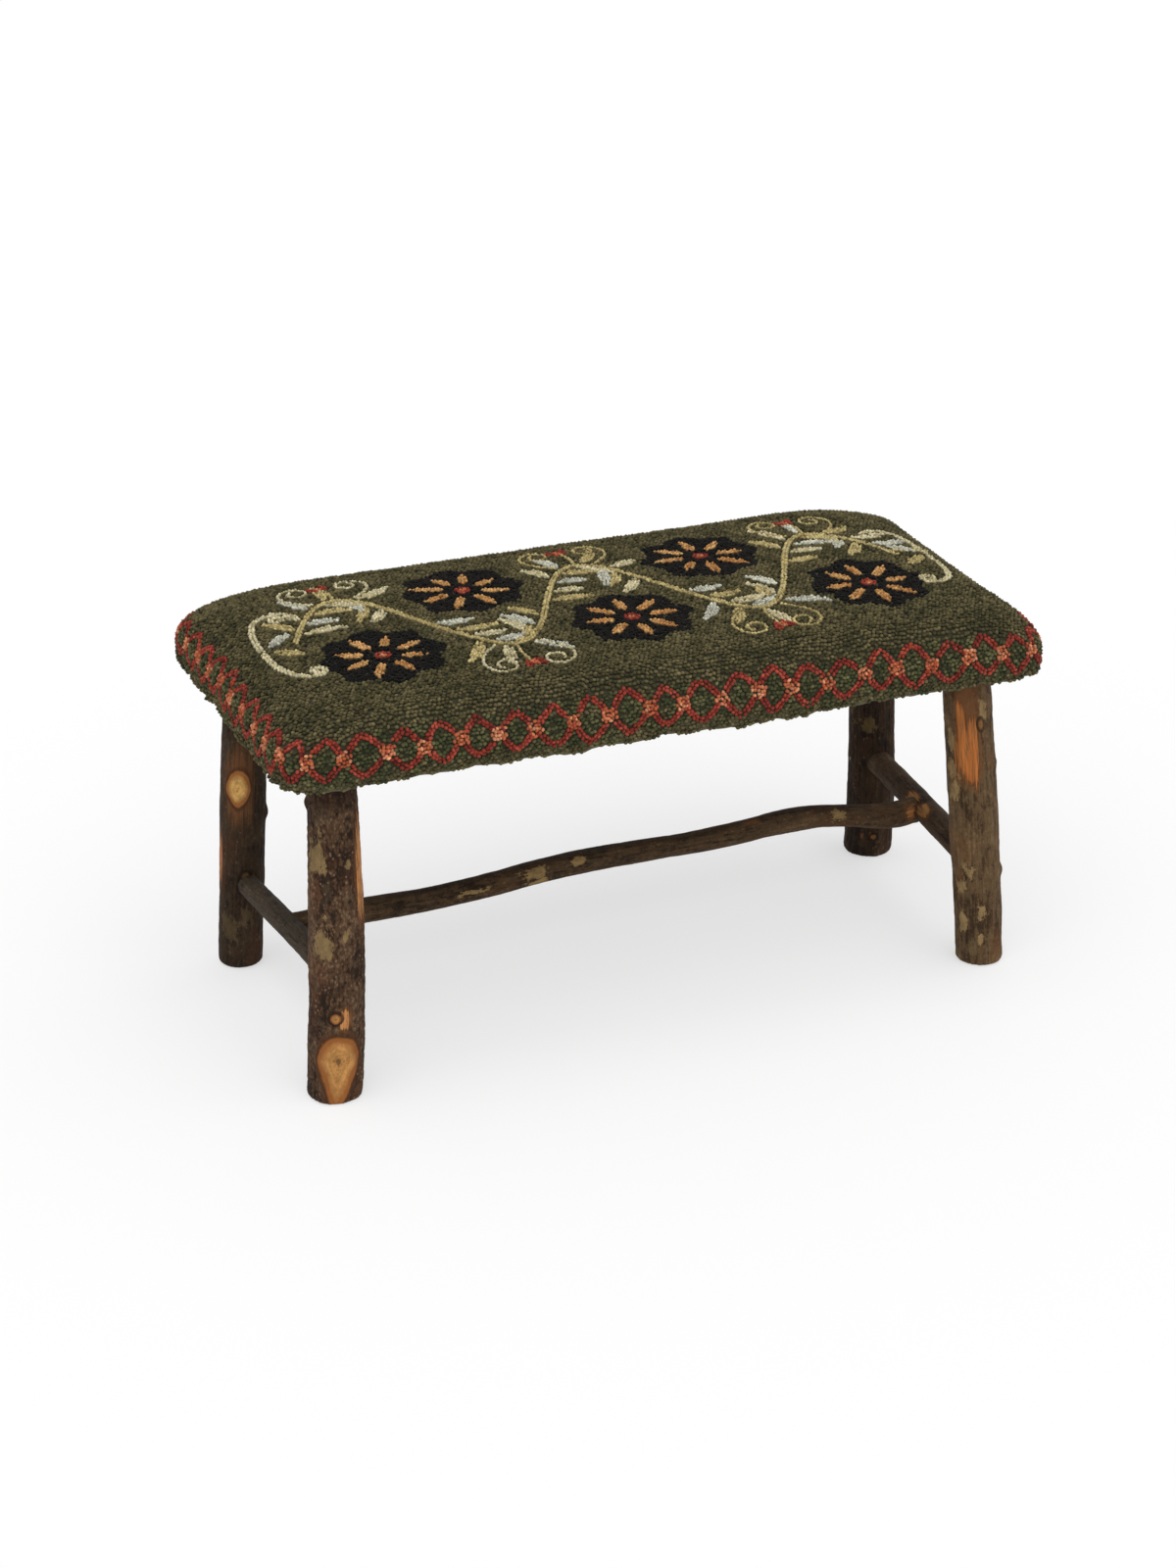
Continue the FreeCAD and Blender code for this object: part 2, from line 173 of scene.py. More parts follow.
def store_map(piece, flat):
    """A map of the piece laid flat, from one place (u, v) for each point, in metres."""
    corners = np.empty(len(piece.data.loops), np.int32)
    piece.data.loops.foreach_get("vertex_index", corners)
    low, high = flat.min(0), flat.max(0)
    places = ((flat - low) / (high - low).max()).astype(np.float32)
    piece.data.uv_layers.new(name="OFBake").data.foreach_set("uv", places[corners].ravel())


def ring_quads(rings, turns):
    """Faces between neighbouring closed rings of points."""
    ring, turn = np.meshgrid(np.arange(rings - 1), np.arange(turns), indexing="ij")
    low, after = ring * turns, (turn + 1) % turns
    high = low + turns
    return np.stack([low + turn, low + after, high + after, high + turn], -1).reshape(-1, 4)


def cad_tree(node):
    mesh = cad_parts[node].data
    return BVHTree.FromPolygons([v.co for v in mesh.vertices], [p.vertices for p in mesh.polygons])


def cad_points(node):
    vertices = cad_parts[node].data.vertices
    points = np.empty(3 * len(vertices), np.float32)
    vertices.foreach_get("co", points)
    return points.reshape(-1, 3).astype(float)


def level_ring(points, height):
    """A solid's points at one height."""
    return points[np.abs(points[:, 2] - height) < LEVEL_SLACK]


# Shader nodes

# How far apart the bands of a wave texture are at scale 1
WAVE_PERIOD = TAU / 20


class Value:
    """What a node gives; sums, differences and products of values are nodes too."""

    def __init__(self, shader, socket):
        self.shader = shader
        self.socket = socket

    def __add__(self, other):
        return self.shader.calc("ADD", self, other)

    def __sub__(self, other):
        return self.shader.calc("SUBTRACT", self, other)

    def __rsub__(self, other):
        return self.shader.calc("SUBTRACT", other, self)

    def __mul__(self, other):
        return self.shader.calc("MULTIPLY", self, other)

    __radd__ = __add__
    __rmul__ = __mul__

    def step(self, low, high):
        """A smooth step from 0 at low to 1 at high."""
        inputs = {"Value": self, "From Min": low, "From Max": high}
        return self.shader.node("MapRange", inputs, interpolation_type="SMOOTHSTEP")


class Shader:
    """The nodes of a material or of the world."""

    def __init__(self, owner):
        owner.use_nodes = True
        self.owner = owner
        self.tree = owner.node_tree

    def feed(self, socket, value):
        if isinstance(value, Value):
            self.tree.links.new(value.socket, socket)
        elif socket.type == "RGBA":
            socket.default_value = (*value, 1)
        else:
            socket.default_value = value

    def node(self, kind, inputs, output=0, **settings):
        made = self.tree.nodes.new("ShaderNode" + kind)
        for key, value in settings.items():
            setattr(made, key, value)
        for key, value in inputs.items():
            self.feed(made.inputs[key], value)
        return Value(self, made.outputs[output])

    def calc(self, operation, first, second=0.0):
        return self.node("Math", {0: first, 1: second}, operation=operation)

    def attribute(self, name, output="Fac"):
        return self.node("Attribute", {}, output, attribute_name=name)

    def place(self):
        return self.node("TexCoord", {}, "Object")

    def scaled(self, place, size):
        """A place counted in lengths of that size, in millimetres along each axis."""
        scale = [1 / (length * MM) for length in size]
        return self.node("VectorMath", {0: place, 1: scale}, operation="MULTIPLY")

    def noise(self, place, size, detail=3.0, rough=0.55):
        """Noise from 0 to 1 with bumps of that size."""
        inputs = {"Vector": self.scaled(place, size), "Scale": 1.0, "Detail": detail, "Roughness": rough}
        return self.node("TexNoise", inputs)

    def pebbles(self, place, size):
        """Rounded cells of that size: how far from their middles, and a number for each cell."""
        far = self.node("TexVoronoi", {"Vector": self.scaled(place, size), "Scale": 1.0})
        tint = Value(self, far.socket.node.outputs["Color"])
        return far, self.node("SeparateColor", {"Color": tint}, "Red")

    def waves(self, place, axis, length, wobble):
        """Soft bands along an axis, that many millimetres apart."""
        inputs = {"Vector": place, "Scale": WAVE_PERIOD / (length * MM), "Distortion": wobble}
        return self.node("TexWave", inputs, 1, bands_direction=axis)

    def mix(self, share, first, second):
        return self.node("Mix", {0: share, 6: first, 7: second}, 2, data_type="RGBA")

    def ramp(self, value, *stops):
        """Colours along a value, each stop a place from 0 to 1 and a colour."""
        made = self.node("ValToRGB", {"Fac": value})
        elements = made.socket.node.color_ramp.elements
        while len(elements) < len(stops):
            elements.new(0.5)
        for element, (where, tint) in zip(elements, stops):
            element.position = where
            element.color = (*tint, 1)
        return made

    def between(self, value, tones, low=0.35):
        """Two tones, the first up to the value low and the second from 1 - low on."""
        return self.ramp(value, (low, colour(*tones[0])), (1 - low, colour(*tones[1])))

    def bump(self, height, distance):
        return self.node("Bump", {"Height": height, "Distance": distance * MM, "Strength": 1.0})

    def seen(self):
        """1 where the camera or a mirrored or passed ray looks, 0 for light on the object."""
        looks = ("Is Camera Ray", "Is Glossy Ray", "Is Transmission Ray")
        camera, glossy, passed = (self.node("LightPath", {}, name) for name in looks)
        return self.calc("MAXIMUM", self.calc("MAXIMUM", camera, glossy), passed)

    def finish(self, tint, roughness, normal=None, **constants):
        """Joins the nodes to the surface; constants are set on its own sockets."""
        sockets = self.tree.nodes["Principled BSDF"].inputs
        self.feed(sockets["Base Color"], tint)
        self.feed(sockets["Roughness"], roughness)
        if normal:
            self.feed(sockets["Normal"], normal)
        for key, value in constants.items():
            sockets[key.replace("_", " ")].default_value = value
        return self.owner


def new_shader(name):
    return Shader(bpy.data.materials.new(name))


# Bark and bare wood

# Tones of one log: its bark in the cracks, over its body and on the ridges, the warm and grey casts over it,
# its lichen, its peeled wood and its trimmed knots
PEELED = (152, 92, 46)
TRIMMED = (170, 122, 68)
BarkTone = namedtuple("BarkTone", "crack body ridge warm grey lichen bare knot", defaults=(PEELED, TRIMMED))
# The crack and ridge tones are partly the bark's own and partly painted shade in the cracks and a painted
# highlight on the ridges
BARK_TONES = {
    "front_left_leg": BarkTone(
        (38, 26, 17), (79, 57, 40), (110, 87, 64), (94, 58, 38), (96, 81, 62), (128, 106, 71),
        bare=(172, 118, 70)),
    "front_right_leg": BarkTone(
        (55, 40, 25), (94, 73, 49), (122, 99, 70), (114, 76, 45), (114, 99, 68), (144, 119, 81),
        bare=(160, 95, 45)),
    "rear_left_leg": BarkTone(
        (28, 19, 11), (53, 39, 26), (74, 57, 40), (80, 49, 28), (66, 56, 40), (76, 62, 41),
        knot=(186, 144, 82)),
    "rear_right_leg": BarkTone(
        (26, 17, 10), (50, 35, 22), (72, 53, 36), (66, 41, 24), (64, 53, 35), (86, 69, 40)),
    "left_rung": BarkTone(
        (35, 27, 19), (63, 53, 41), (90, 77, 62), (70, 54, 39), (88, 79, 65), (94, 83, 65)),
    "right_rung": BarkTone(
        (36, 26, 17), (70, 53, 38), (96, 78, 58), (84, 58, 36), (90, 78, 60), (106, 87, 60),
        bare=(150, 104, 58)),
    "centre_stretcher": BarkTone(
        (35, 25, 16), (76, 58, 39), (104, 83, 58), (90, 62, 38), (97, 82, 57), (140, 114, 74),
        bare=(150, 100, 56)),
}
STAIN = colour(114, 74, 44)
KNOT_RIM = colour(132, 76, 34)
# The dark ring round a trimmed knot is painted shade beside its lip
KNOT_MARGIN_SHADE = colour(72, 43, 24)
PITH = colour(62, 38, 20)
PALE_SPECK = colour(132, 114, 95)

# How uneven and how cracked the bark is, how far its cracks run along the log in millimetres, and its grit
BarkForm = namedtuple("BarkForm", "lumps cracks crack_length grit")
BARK_FORMS = {
    "front_left_leg": BarkForm(1.4, 0.55, 9, 1.0), "front_right_leg": BarkForm(1.1, 0.45, 30, 0.35),
    "rear_left_leg": BarkForm(1.0, 0.30, 20, 0.4), "rear_right_leg": BarkForm(1.0, 0.55, 34, 0.3),
    "left_rung": BarkForm(0.6, 0.22, 26, 0.3), "right_rung": BarkForm(0.7, 0.25, 28, 0.3),
    "centre_stretcher": BarkForm(1.0, 0.25, 32, 0.3),
}


class Bark(Shader):
    """Bark of one log, in layers that are placed by what the mesh stores."""

    def __init__(self, name):
        super().__init__(bpy.data.materials.new(name + "_bark"))
        self.tone = BarkTone(*(colour(*part) for part in BARK_TONES[name]))
        self.form = BARK_FORMS[name]
        self.grain = self.attribute("grain", "Vector")
        self.fissure = self.noise(self.grain, (2.8, 2.8, self.form.crack_length), 5, 0.62)
        self.plates = self.noise(self.grain, (8, 8, 13), 4, 0.6)
        self.fine = self.noise(self.grain, (0.9, 0.9, 2.6), 3, 0.6)
        self.casts = self.noise(self.grain, (34, 34, 70), 3)
        self.blotch = self.noise(self.grain, (13, 13, 22), 4, 0.6)
        self.streak = self.noise(self.grain, (2.0, 2.0, 56), 5, 0.62)
        self.streaky = 1.8 * (self.streak - 0.5)
        self.ragged = 2.2 * (self.blotch - 0.5)

    def plain(self):
        """Bark from its cracks to its ridges, darker low and paler high, partly as painted shade and painted
        highlight, with casts, pits and pale specks; and its height.
        """
        tone, grit = self.tone, self.form.grit
        far, dice = self.pebbles(self.grain, (3.0, 3.0, 4.0))
        height = 0.62 * self.fissure + 0.38 * self.plates + 0.40 * (self.fine - 0.5)
        height = height + 0.30 * grit * (0.45 - far) + 0.15 * self.attribute("relief")
        # Colour by height, the mesh's relief included: partly the bark's own tones, partly painted shade in
        # the cracks and painted highlight on the ridges
        stops = (0.34, tone.crack), (0.46, tone.body), (0.53, tone.body), (0.68, tone.ridge)
        tint = self.ramp(height, *stops)
        tint = self.mix(0.40 * self.casts.step(0.48, 0.66), tint, tone.warm)
        tint = self.mix(0.40 * self.blotch.step(0.54, 0.70), tint, tone.grey)
        tint = self.mix(0.5 * grit * dice.step(0.16, 0.10), tint, tone.crack)
        specks = dice.step(0.84, 0.90) * far.step(0.46, 0.26) * self.casts.step(0.34, 0.58)
        return self.mix((0.08 + 0.5 * grit) * specks, tint, PALE_SPECK), height

    def stained(self, tint):
        """Darker bark from the dark patches, painted shade on the front left leg and the left rung, and
        stains drawn out along the grain.
        """
        # Dark patches: painted shade under the seat and under the left rung, a darker strip on the
        # stretcher's top
        shade = (self.attribute("dark") + self.ragged).step(-0.15, 0.35)
        tint = self.mix(0.45 * shade, tint, self.tone.crack)
        halo = (self.attribute("stain") + 0.7 * self.streaky).step(-0.15, 0.65)
        return self.mix(0.8 * halo, tint, STAIN)

    def crusted(self, tint):
        """Flaky lichen, thinner where the bark's grain is low."""
        flaky = 2.6 * (self.plates - 0.5) + 1.6 * (self.fine - 0.5)
        crust = (self.attribute("lichen") + (self.ragged + flaky)).step(0.12, 0.34)
        worn = (self.fine + 0.7 * self.fissure).step(0.66, 0.88)
        moss = self.ramp(self.plates, (0.34, 0.74 * self.tone.lichen), (0.66, 1.16 * self.tone.lichen))
        return self.mix(crust * (0.62 + 0.34 * worn), tint, moss)

    def peeled(self, tint):
        """Bare streaky wood with a stained rim, and how bare each place is."""
        tone, inside = self.tone.bare, self.attribute("bare")
        depth = inside + self.streaky
        bare = depth.step(0.02, 0.26)
        wood = self.ramp(self.streak, (0.30, 0.43 * tone), (0.5, tone), (0.74, 1.6 * tone))
        wood = self.mix(0.3 * inside.step(0.25, 0.9), wood, 1.35 * tone)
        wood = self.mix(0.7 * self.fissure.step(0.50, 0.36), wood, self.tone.body)
        tint = self.mix(0.5 * depth.step(-0.40, 0.05), tint, STAIN)
        return self.mix(bare, tint, wood), bare

    def knotted(self, tint):
        """Trimmed knots with rings and pith, a dark ring round each that is painted shade beside its raised
        lip, and how flat each place is.
        """
        tone, trimmed = self.tone.knot, self.attribute("face")
        around = self.attribute("knot") + 0.34 * (self.blotch - 0.5)
        rings = 0.03 * self.calc("SINE", 26.0 * around) + (0.6 * self.plates + 0.4 * self.fine)
        face = self.ramp(rings, (0.36, 0.64 * tone), (0.5, tone), (0.64, 1.42 * tone))
        check = self.calc("ABSOLUTE", self.noise(self.grain, (5, 5, 6), 2) - 0.5)
        crack = check.step(0.03, 0.0) * around.step(0.45, 0.12)
        heart = self.calc("MAXIMUM", crack, around.step(0.15, 0.05))
        face = self.mix(0.7 * heart, face, PITH)
        face = self.mix(0.85 * around.step(0.58, 0.92), face, KNOT_RIM)
        flat = around.step(1.14, 1.0) * trimmed
        # A dark ring just outside each knot's raised lip: painted shade
        margin = self.mix(trimmed.step(0.86, 0.98), self.tone.crack, KNOT_MARGIN_SHADE)
        ring = trimmed.step(0.98, 0.86) * around.step(1.95, 1.55)
        ring = self.calc("MAXIMUM", ring, around.step(1.42, 1.14))
        return self.mix(flat, self.mix(0.85 * ring, tint, margin), face), flat


def bark_material(name):
    bark = Bark(name)
    tint, height = bark.plain()
    tint, bare = bark.peeled(bark.crusted(bark.stained(tint)))
    tint, flat = bark.knotted(tint)
    smooth = bark.calc("MAXIMUM", bare, flat)
    roughness = 0.66 + 0.24 * bark.fissure - 0.14 * smooth
    relief = height * (1.0 - 0.85 * smooth)
    return bark.finish(tint, roughness, bark.bump(relief, 2.6), Specular_IOR_Level=0.14)


# Logs and sticks

# Patches of lichen, bare wood, stain or darker bark, which on the front left leg and the left rung is painted
# shade:
# bearing round the log in degrees, then place along it, half width and half length in millimetres
PATCH_KINDS = "lichen", "bare", "stain", "dark"
PATCHES = {
    "front_left_leg": {
        "bare": [(-35, 240, 10.5, 54), (-91, 90, 5.5, 11), (95, 215, 7, 22)],
        "lichen": [(-154, 258, 12, 26), (-137, 167, 11, 20), (-88, 176, 3, 6), (-78, 250, 3, 5),
                   (60, 120, 13, 26), (120, 280, 12, 20)],
        # Painted shadow round the top of the leg, under the seat
        "dark": [(-112, 330, 60, 26)],
    },
    "front_right_leg": {
        "bare": [(-124, 250, 13, 31), (-133, 274, 6, 34), (-111, 264, 7, 29), (-119, 236, 8, 27),
                 (70, 250, 8, 26)],
        "stain": [(-120, 296, 18, 44)],
        "lichen": [(-164, 262, 8, 16), (-163, 229, 8, 13), (-162, 203, 7, 12), (-80, 292, 5, 15),
                   (-136, 112, 7, 10), (-157, 95, 7, 8), (-109, 64, 6, 12), (-157, 48, 6, 12),
                   (-110, 33, 4, 9), (40, 150, 12, 30)],
    },
    "rear_left_leg": {
        "bare": [(-180, 120, 5, 29), (20, 80, 6, 20)],
        "stain": [(-119, 210, 18, 48)],
        "lichen": [(-140, 45, 12, 20), (-90, 62, 10, 14), (80, 230, 12, 26)],
    },
    "rear_right_leg": {
        "bare": [(110, 250, 7, 24)],
        "stain": [(-112, 29, 2.5, 4), (-133, 27, 2.5, 4)],
        "lichen": [(-119, 166, 11, 11), (70, 120, 12, 28), (-60, 260, 8, 20), (-167, 235, 6, 70)],
    },
    # The left rung's dark patch is painted shade along its underside
    "left_rung": {"lichen": [(30, 150, 6, 16)], "bare": [(-20, 250, 5, 14)], "dark": [(-100, 150, 8, 120)]},
    "right_rung": {"bare": [(138, 152, 8, 12), (140, 122, 8, 14)], "lichen": [(60, 230, 6, 14)]},
    "centre_stretcher": {
        "bare": [(20, 706, 9, 7), (230, 560, 4, 18)],
        "stain": [(70, 519, 4, 12)],
        "lichen": [(20, 268, 8, 14), (-35, 275, 6, 16), (35, 316, 5, 8), (15, 204, 3, 20), (25, 621, 7, 9),
                   (190, 330, 6, 20)],
        # A darker strip along the top of the stretcher
        "dark": [(95, 330, 9, 420)],
    },
}

# A branch trimmed flush: where it is, its half width and how far it reaches along the log each way, how
# pointed its lower end is, from 2 for round down to 1 for straight sided, and how bare its face is
Knot = namedtuple("Knot", "bearing place half_width rise drop point face")
KNOTS = {
    "front_left_leg": [Knot(-103, 48, 19.5, 23, 52, 1.25, 1), Knot(-110, 92, 4.6, 5, 5, 2, 0.85)],
    "front_right_leg": [Knot(-88, 281, 3, 5.5, 5.5, 2, 0.35)],
    "rear_left_leg": [Knot(-121, 208, 11.5, 20, 20, 1.6, 1), Knot(-98, 108, 4, 4.5, 4.5, 2, 0.2)],
    "rear_right_leg": [Knot(-105, 27, 3, 3, 3, 2, 0.4), Knot(-138, 152, 2, 2.6, 2.6, 2, 0)],
    "right_rung": [Knot(115, 133, 2.2, 3, 3, 2, 0)],
}
NO_KNOT, NO_PATCH = 4.0, -1.0
AT_ENDS = {**dict.fromkeys(PATCH_KINDS, NO_PATCH), "knot": 0, "face": 1, "relief": 0}
CUT_FACE = 0.95

LEG_TURNS, STICK_TURNS, LINE_TURNS, TENON_TURNS = 184, 96, 24, 12
BARK_LUMPS = (1, (26, 26, 48)), (0.5, (10, 10, 20))
# Cracks and flakes: their sizes across and along the log and their heights, in millimetres
CRACK_WIDTH, FLAKE_WIDTH, FLAKE_LENGTH, GRIT_SHORTENS = 4.2, 2.6, 7, 3
LUMP_HEIGHT, CRACK_DEPTH, FLAKE_HEIGHT = 0.75, 1.5, 0.7
CRACK_POWER = 4
# Bark fades out by a knot's rim, where a lip stands up, and is smoother and lower where it is peeled
RIM_FADE = 0.98, 1.25
LIP_HEIGHT, LIP_PLACE, LIP_WIDTH = 0.9 * MM, 1.16, 0.1
SMOOTH_SHARE, SMOOTH_FADE = 0.75, (-0.1, 0.25)
PEEL_DEPTH, PEEL_FADE = 0.5 * MM, (-0.15, 0.2)
LEG_PLACES = 40
BEND_DEGREE = 3
LINE_TRIES = 3
SEEN_SHARE = 0.6
ROUND_SHARE = 0.06
NUB_SOFTNESS = 5
RING_STEP = 1.7 * MM
LINE_STEP = 3 * MM
CAST_REACH = 70 * MM
NAIL_ROOM = 1.5 * MM, 6 * MM
FOOT_ROUND = 5 * MM
FOOT_RINGS = 7
CAP_SHARES = np.array([0.06, 0.3, 0.55, 0.78, 0.93])
TENON_SHARES = np.array([1.3, 1.0, 1.0])
TENON_ROOM = 0.75
BODY_SHARE = 1.1
INTO_JOINT = 7 * MM
INTO_DECK = 0.5 * MM
END_SLACKS = np.array([3, 1, 0.5, 0.3]) * MM


def spokes(axes, turns):
    """Directions out from a log's middle line, even all round."""
    angles = np.arange(turns) * TAU / turns
    return np.cos(angles)[:, None] * axes[0] + np.sin(angles)[:, None] * axes[1]


def surface_radius(tree, centres, directions):
    """How far the surface is from each centre along each direction; nan where a hole is open."""
    radius = np.full((len(centres), len(directions)), np.nan)
    inward = [Vector(-d) for d in directions]
    for i, centre in enumerate(centres):
        for j, direction in enumerate(directions):
            distance = tree.ray_cast(centre + direction * CAST_REACH, inward[j], CAST_REACH)[3]
            if distance is not None:
                radius[i, j] = CAST_REACH - distance
    radius[radius < TENON_ROOM * np.nanmedian(radius, axis=1, keepdims=True)] = np.nan
    return radius


def middle_line(tree, centres, axes):
    """Centres moved to the middle of the surface round them, and which of them it rings whole."""
    directions = spokes(axes, LINE_TURNS)
    columns = np.column_stack([np.ones(LINE_TURNS), directions @ axes[0], directions @ axes[1]])
    centres = centres.copy()
    for _ in range(LINE_TRIES):
        whole = np.zeros(len(centres), bool)
        for i, ring in enumerate(surface_radius(tree, centres, directions)):
            seen = ~np.isnan(ring)
            if seen.sum() < SEEN_SHARE * LINE_TURNS:
                continue
            fit = np.linalg.lstsq(columns[seen], ring[seen], rcond=None)[0]
            whole[i] = np.abs(columns[seen] @ fit - ring[seen]).max() < ROUND_SHARE * fit[0]
            if whole[i]:
                centres[i] += fit[1] * axes[0] + fit[2] * axes[1]
    return centres, whole


def fill_rings(radius):
    """Open places of each ring, filled from the sound places on both sides of them."""
    index = np.arange(radius.shape[1])
    for ring in radius:
        sound = ~np.isnan(ring)
        ring[:] = np.interp(index, index[sound], ring[sound], period=len(index))
    return radius


def softened(radius):
    """Rings averaged with their neighbours along and round the log, so that nubs on it swell gently."""
    for _ in range(NUB_SOFTNESS):
        ends = np.concatenate([radius[:1], radius, radius[-1:]])
        radius = (ends[:-2] + 2 * radius + ends[2:]) / 4
        for _ in range(2):
            radius = (np.roll(radius, 1, 1) + 2 * radius + np.roll(radius, -1, 1)) / 4
    return radius


def around_log(surface, bearing, place):
    """Distances across and along the bark from one spot on it."""
    angles, along, mean_radius = surface
    turn = (angles - math.radians(bearing) + math.pi) % TAU - math.pi
    return turn * mean_radius, along - place * MM


def patch_field(patches, surface):
    """How far inside the nearest patch each point is: 1 in its middle, 0 at its edge."""
    field = np.full(surface[0].shape, NO_PATCH)
    for bearing, place, half_width, half_length in patches:
        side, along = around_log(surface, bearing, place)
        side, along = np.abs(side) / (half_width * MM), np.abs(along) / (half_length * MM)
        field = np.maximum(field, 1 - np.cbrt(side ** 3 + along ** 3))
    return field


def knot_field(knots, surface):
    """Distance from the nearest knot's pith, 0 there and 1 at its rim, and how bare that knot's face is."""
    field, face = np.full(surface[0].shape, NO_KNOT), np.zeros(surface[0].shape)
    for knot in knots:
        side, along = around_log(surface, knot.bearing, knot.place)
        length = np.where(along > 0, knot.rise, knot.drop) * MM
        power = np.where(along > 0, 2.0, knot.point)
        far = np.abs(side / (knot.half_width * MM)) ** power + np.abs(along / length) ** power
        far = far ** (1 / power)
        face[far < field] = knot.face
        field = np.minimum(field, far)
    return field, face


def bark_relief(name, grain, knot, bare):
    """How far lumps, plates, cracks and the lips of knots stand off the log's plain surface."""
    form = BARK_FORMS[name]
    seed = sum(map(ord, name))
    lumps = layered(grain, BARK_LUMPS, seed)
    cracks = 1 - np.abs(noise(grain, (CRACK_WIDTH, CRACK_WIDTH, form.crack_length), seed + 2))
    flake_length = FLAKE_LENGTH - GRIT_SHORTENS * form.grit
    flakes = noise(grain, (FLAKE_WIDTH, FLAKE_WIDTH, flake_length), seed + 3)
    relief = form.lumps * LUMP_HEIGHT * lumps - CRACK_DEPTH * form.cracks * cracks ** CRACK_POWER
    relief = relief + FLAKE_HEIGHT * form.cracks * flakes
    relief = (relief * MM).reshape(knot.shape)
    relief *= smooth_step(*RIM_FADE, knot) * (1 - SMOOTH_SHARE * smooth_step(*SMOOTH_FADE, bare))
    lip = LIP_HEIGHT * np.exp(-((knot - LIP_PLACE) / LIP_WIDTH) ** 2)
    return relief + (lip - PEEL_DEPTH * smooth_step(*PEEL_FADE, bare))


def clear_of_brads(points):
    """0 at the nails' heads, up to 1 away from them."""
    return smooth_step(*NAIL_ROOM, np.array([BRADS.find(point)[2] for point in points]))


def end_fans(count, turns):
    """Triangles that close the first and the last of the rings, to two more points."""
    fan = np.arange(turns)
    after = (fan + 1) % turns
    last = count - turns
    return np.concatenate([
        np.column_stack([after, fan, np.full(turns, count)]),
        np.column_stack([last + fan, last + after, np.full(turns, count + 1)]),
    ])


def make_log(name, centres, radius, places, cut, axes):
    """A barked piece from its scanned rings; cut is how many rings at each end carry no bark."""
    rings, turns = radius.shape
    bark = np.zeros(rings, bool)
    bark[cut[0]:-cut[1]] = True
    angles = np.broadcast_to(np.arange(turns) * TAU / turns, radius.shape)
    along = np.broadcast_to(places[:, None], radius.shape)
    mean_radius = radius[bark].mean()
    surface = angles, along, mean_radius
    out = np.where(bark[:, None], 1, np.minimum(radius, mean_radius) / mean_radius)
    grain = np.stack([mean_radius * np.cos(angles) * out, mean_radius * np.sin(angles) * out, along], -1)
    grain = grain.reshape(-1, 3)

    fields = {kind: patch_field(PATCHES[name].get(kind, ()), surface) for kind in PATCH_KINDS}
    fields["knot"], fields["face"] = knot_field(KNOTS.get(name, ()), surface)
    relief = bark_relief(name, grain, fields["knot"], fields["bare"])
    relief[~bark] = 0
    directions = spokes(axes, turns)
    plain = centres[:, None] + radius[..., None] * directions
    relief *= clear_of_brads(plain.reshape(-1, 3)).reshape(radius.shape)
    points = (plain + relief[..., None] * directions).reshape(-1, 3)
    for field in fields.values():
        field[~bark] = NO_PATCH
    fields["knot"][~bark] = CUT_FACE * (radius[~bark] / mean_radius)
    fields["face"][~bark] = 1
    fields["relief"] = relief / MM

    slot = "bark_log" if name in LEGS else "bark_stick"
    ends = centres[[0, -1]]
    piece = new_piece(name + "_bark", slot, bark_material(name), np.concatenate([points, ends]),
                      ring_quads(rings, turns), end_fans(len(points), turns))
    store(piece, "grain", np.concatenate([grain, [[0, 0, places[0]], [0, 0, places[-1]]]]))
    for field, values in fields.items():
        store(piece, field, np.append(values, 2 * [AT_ENDS[field]]))
    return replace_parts(piece, name)


def make_leg(name):
    """A log leg: sawn foot with a worn edge, bark up to the deck, and the round tenon in the deck."""
    axes = RIGHT, BACK
    tree, points = cad_tree(name), cad_points(name)
    shoulder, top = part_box("seat_deck")[0].z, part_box(name)[1].z
    foot, collar = level_ring(points, 0).mean(0), level_ring(points, shoulder).mean(0)
    heights = np.linspace(2 * FOOT_ROUND, shoulder - FOOT_ROUND, LEG_PLACES)
    share = (heights / shoulder)[:, None]
    guess = foot * (1 - share) + collar * share
    guess[:, 2] = heights
    found, whole = middle_line(tree, guess, axes)
    bends = [np.polyfit(heights[whole], found[whole, axis], BEND_DEGREE) for axis in (0, 1)]

    fillet = FOOT_ROUND * (1 - np.cos(np.linspace(0, math.pi / 2, FOOT_RINGS)))
    heights = np.concatenate([fillet, np.arange(FOOT_ROUND, shoulder, RING_STEP)[1:], [shoulder]])
    level = np.column_stack([np.polyval(bend, heights) for bend in bends])
    centres = np.column_stack([level, heights])
    scanned = np.column_stack([level, np.clip(heights, FOOT_ROUND, shoulder - INTO_DECK)])
    radius = softened(fill_rings(surface_radius(tree, scanned, spokes(axes, LEG_TURNS))))
    worn = np.clip(1 - heights / FOOT_ROUND, 0, 1)
    radius -= FOOT_ROUND * (1 - np.sqrt(1 - worn ** 2))[:, None]

    sole = radius[:1] * CAP_SHARES[:, None]
    tenon_radius = np.linalg.norm(level_ring(points, top)[:, :2] - collar[:2], axis=1).max()
    tenon = np.tile(tenon_radius * TENON_SHARES[:, None], LEG_TURNS)
    tenon_centres = np.column_stack([np.tile(collar[:2], (len(tenon), 1)), [shoulder, shoulder, top]])
    middles = np.concatenate([np.tile(centres[:1], (len(sole), 1)), centres, tenon_centres])
    rings = np.concatenate([sole, radius, tenon])
    return make_log(name, middles, rings, middles[:, 2], (len(sole), len(tenon)), axes)


def stick_ends(points, along):
    """Middles of a stick's two end faces."""
    for slack in END_SLACKS:
        reach = points @ along
        start = points[reach < reach.min() + slack].mean(0)
        end = points[reach > reach.max() - slack].mean(0)
        along = unit(end - start)
    return start, end


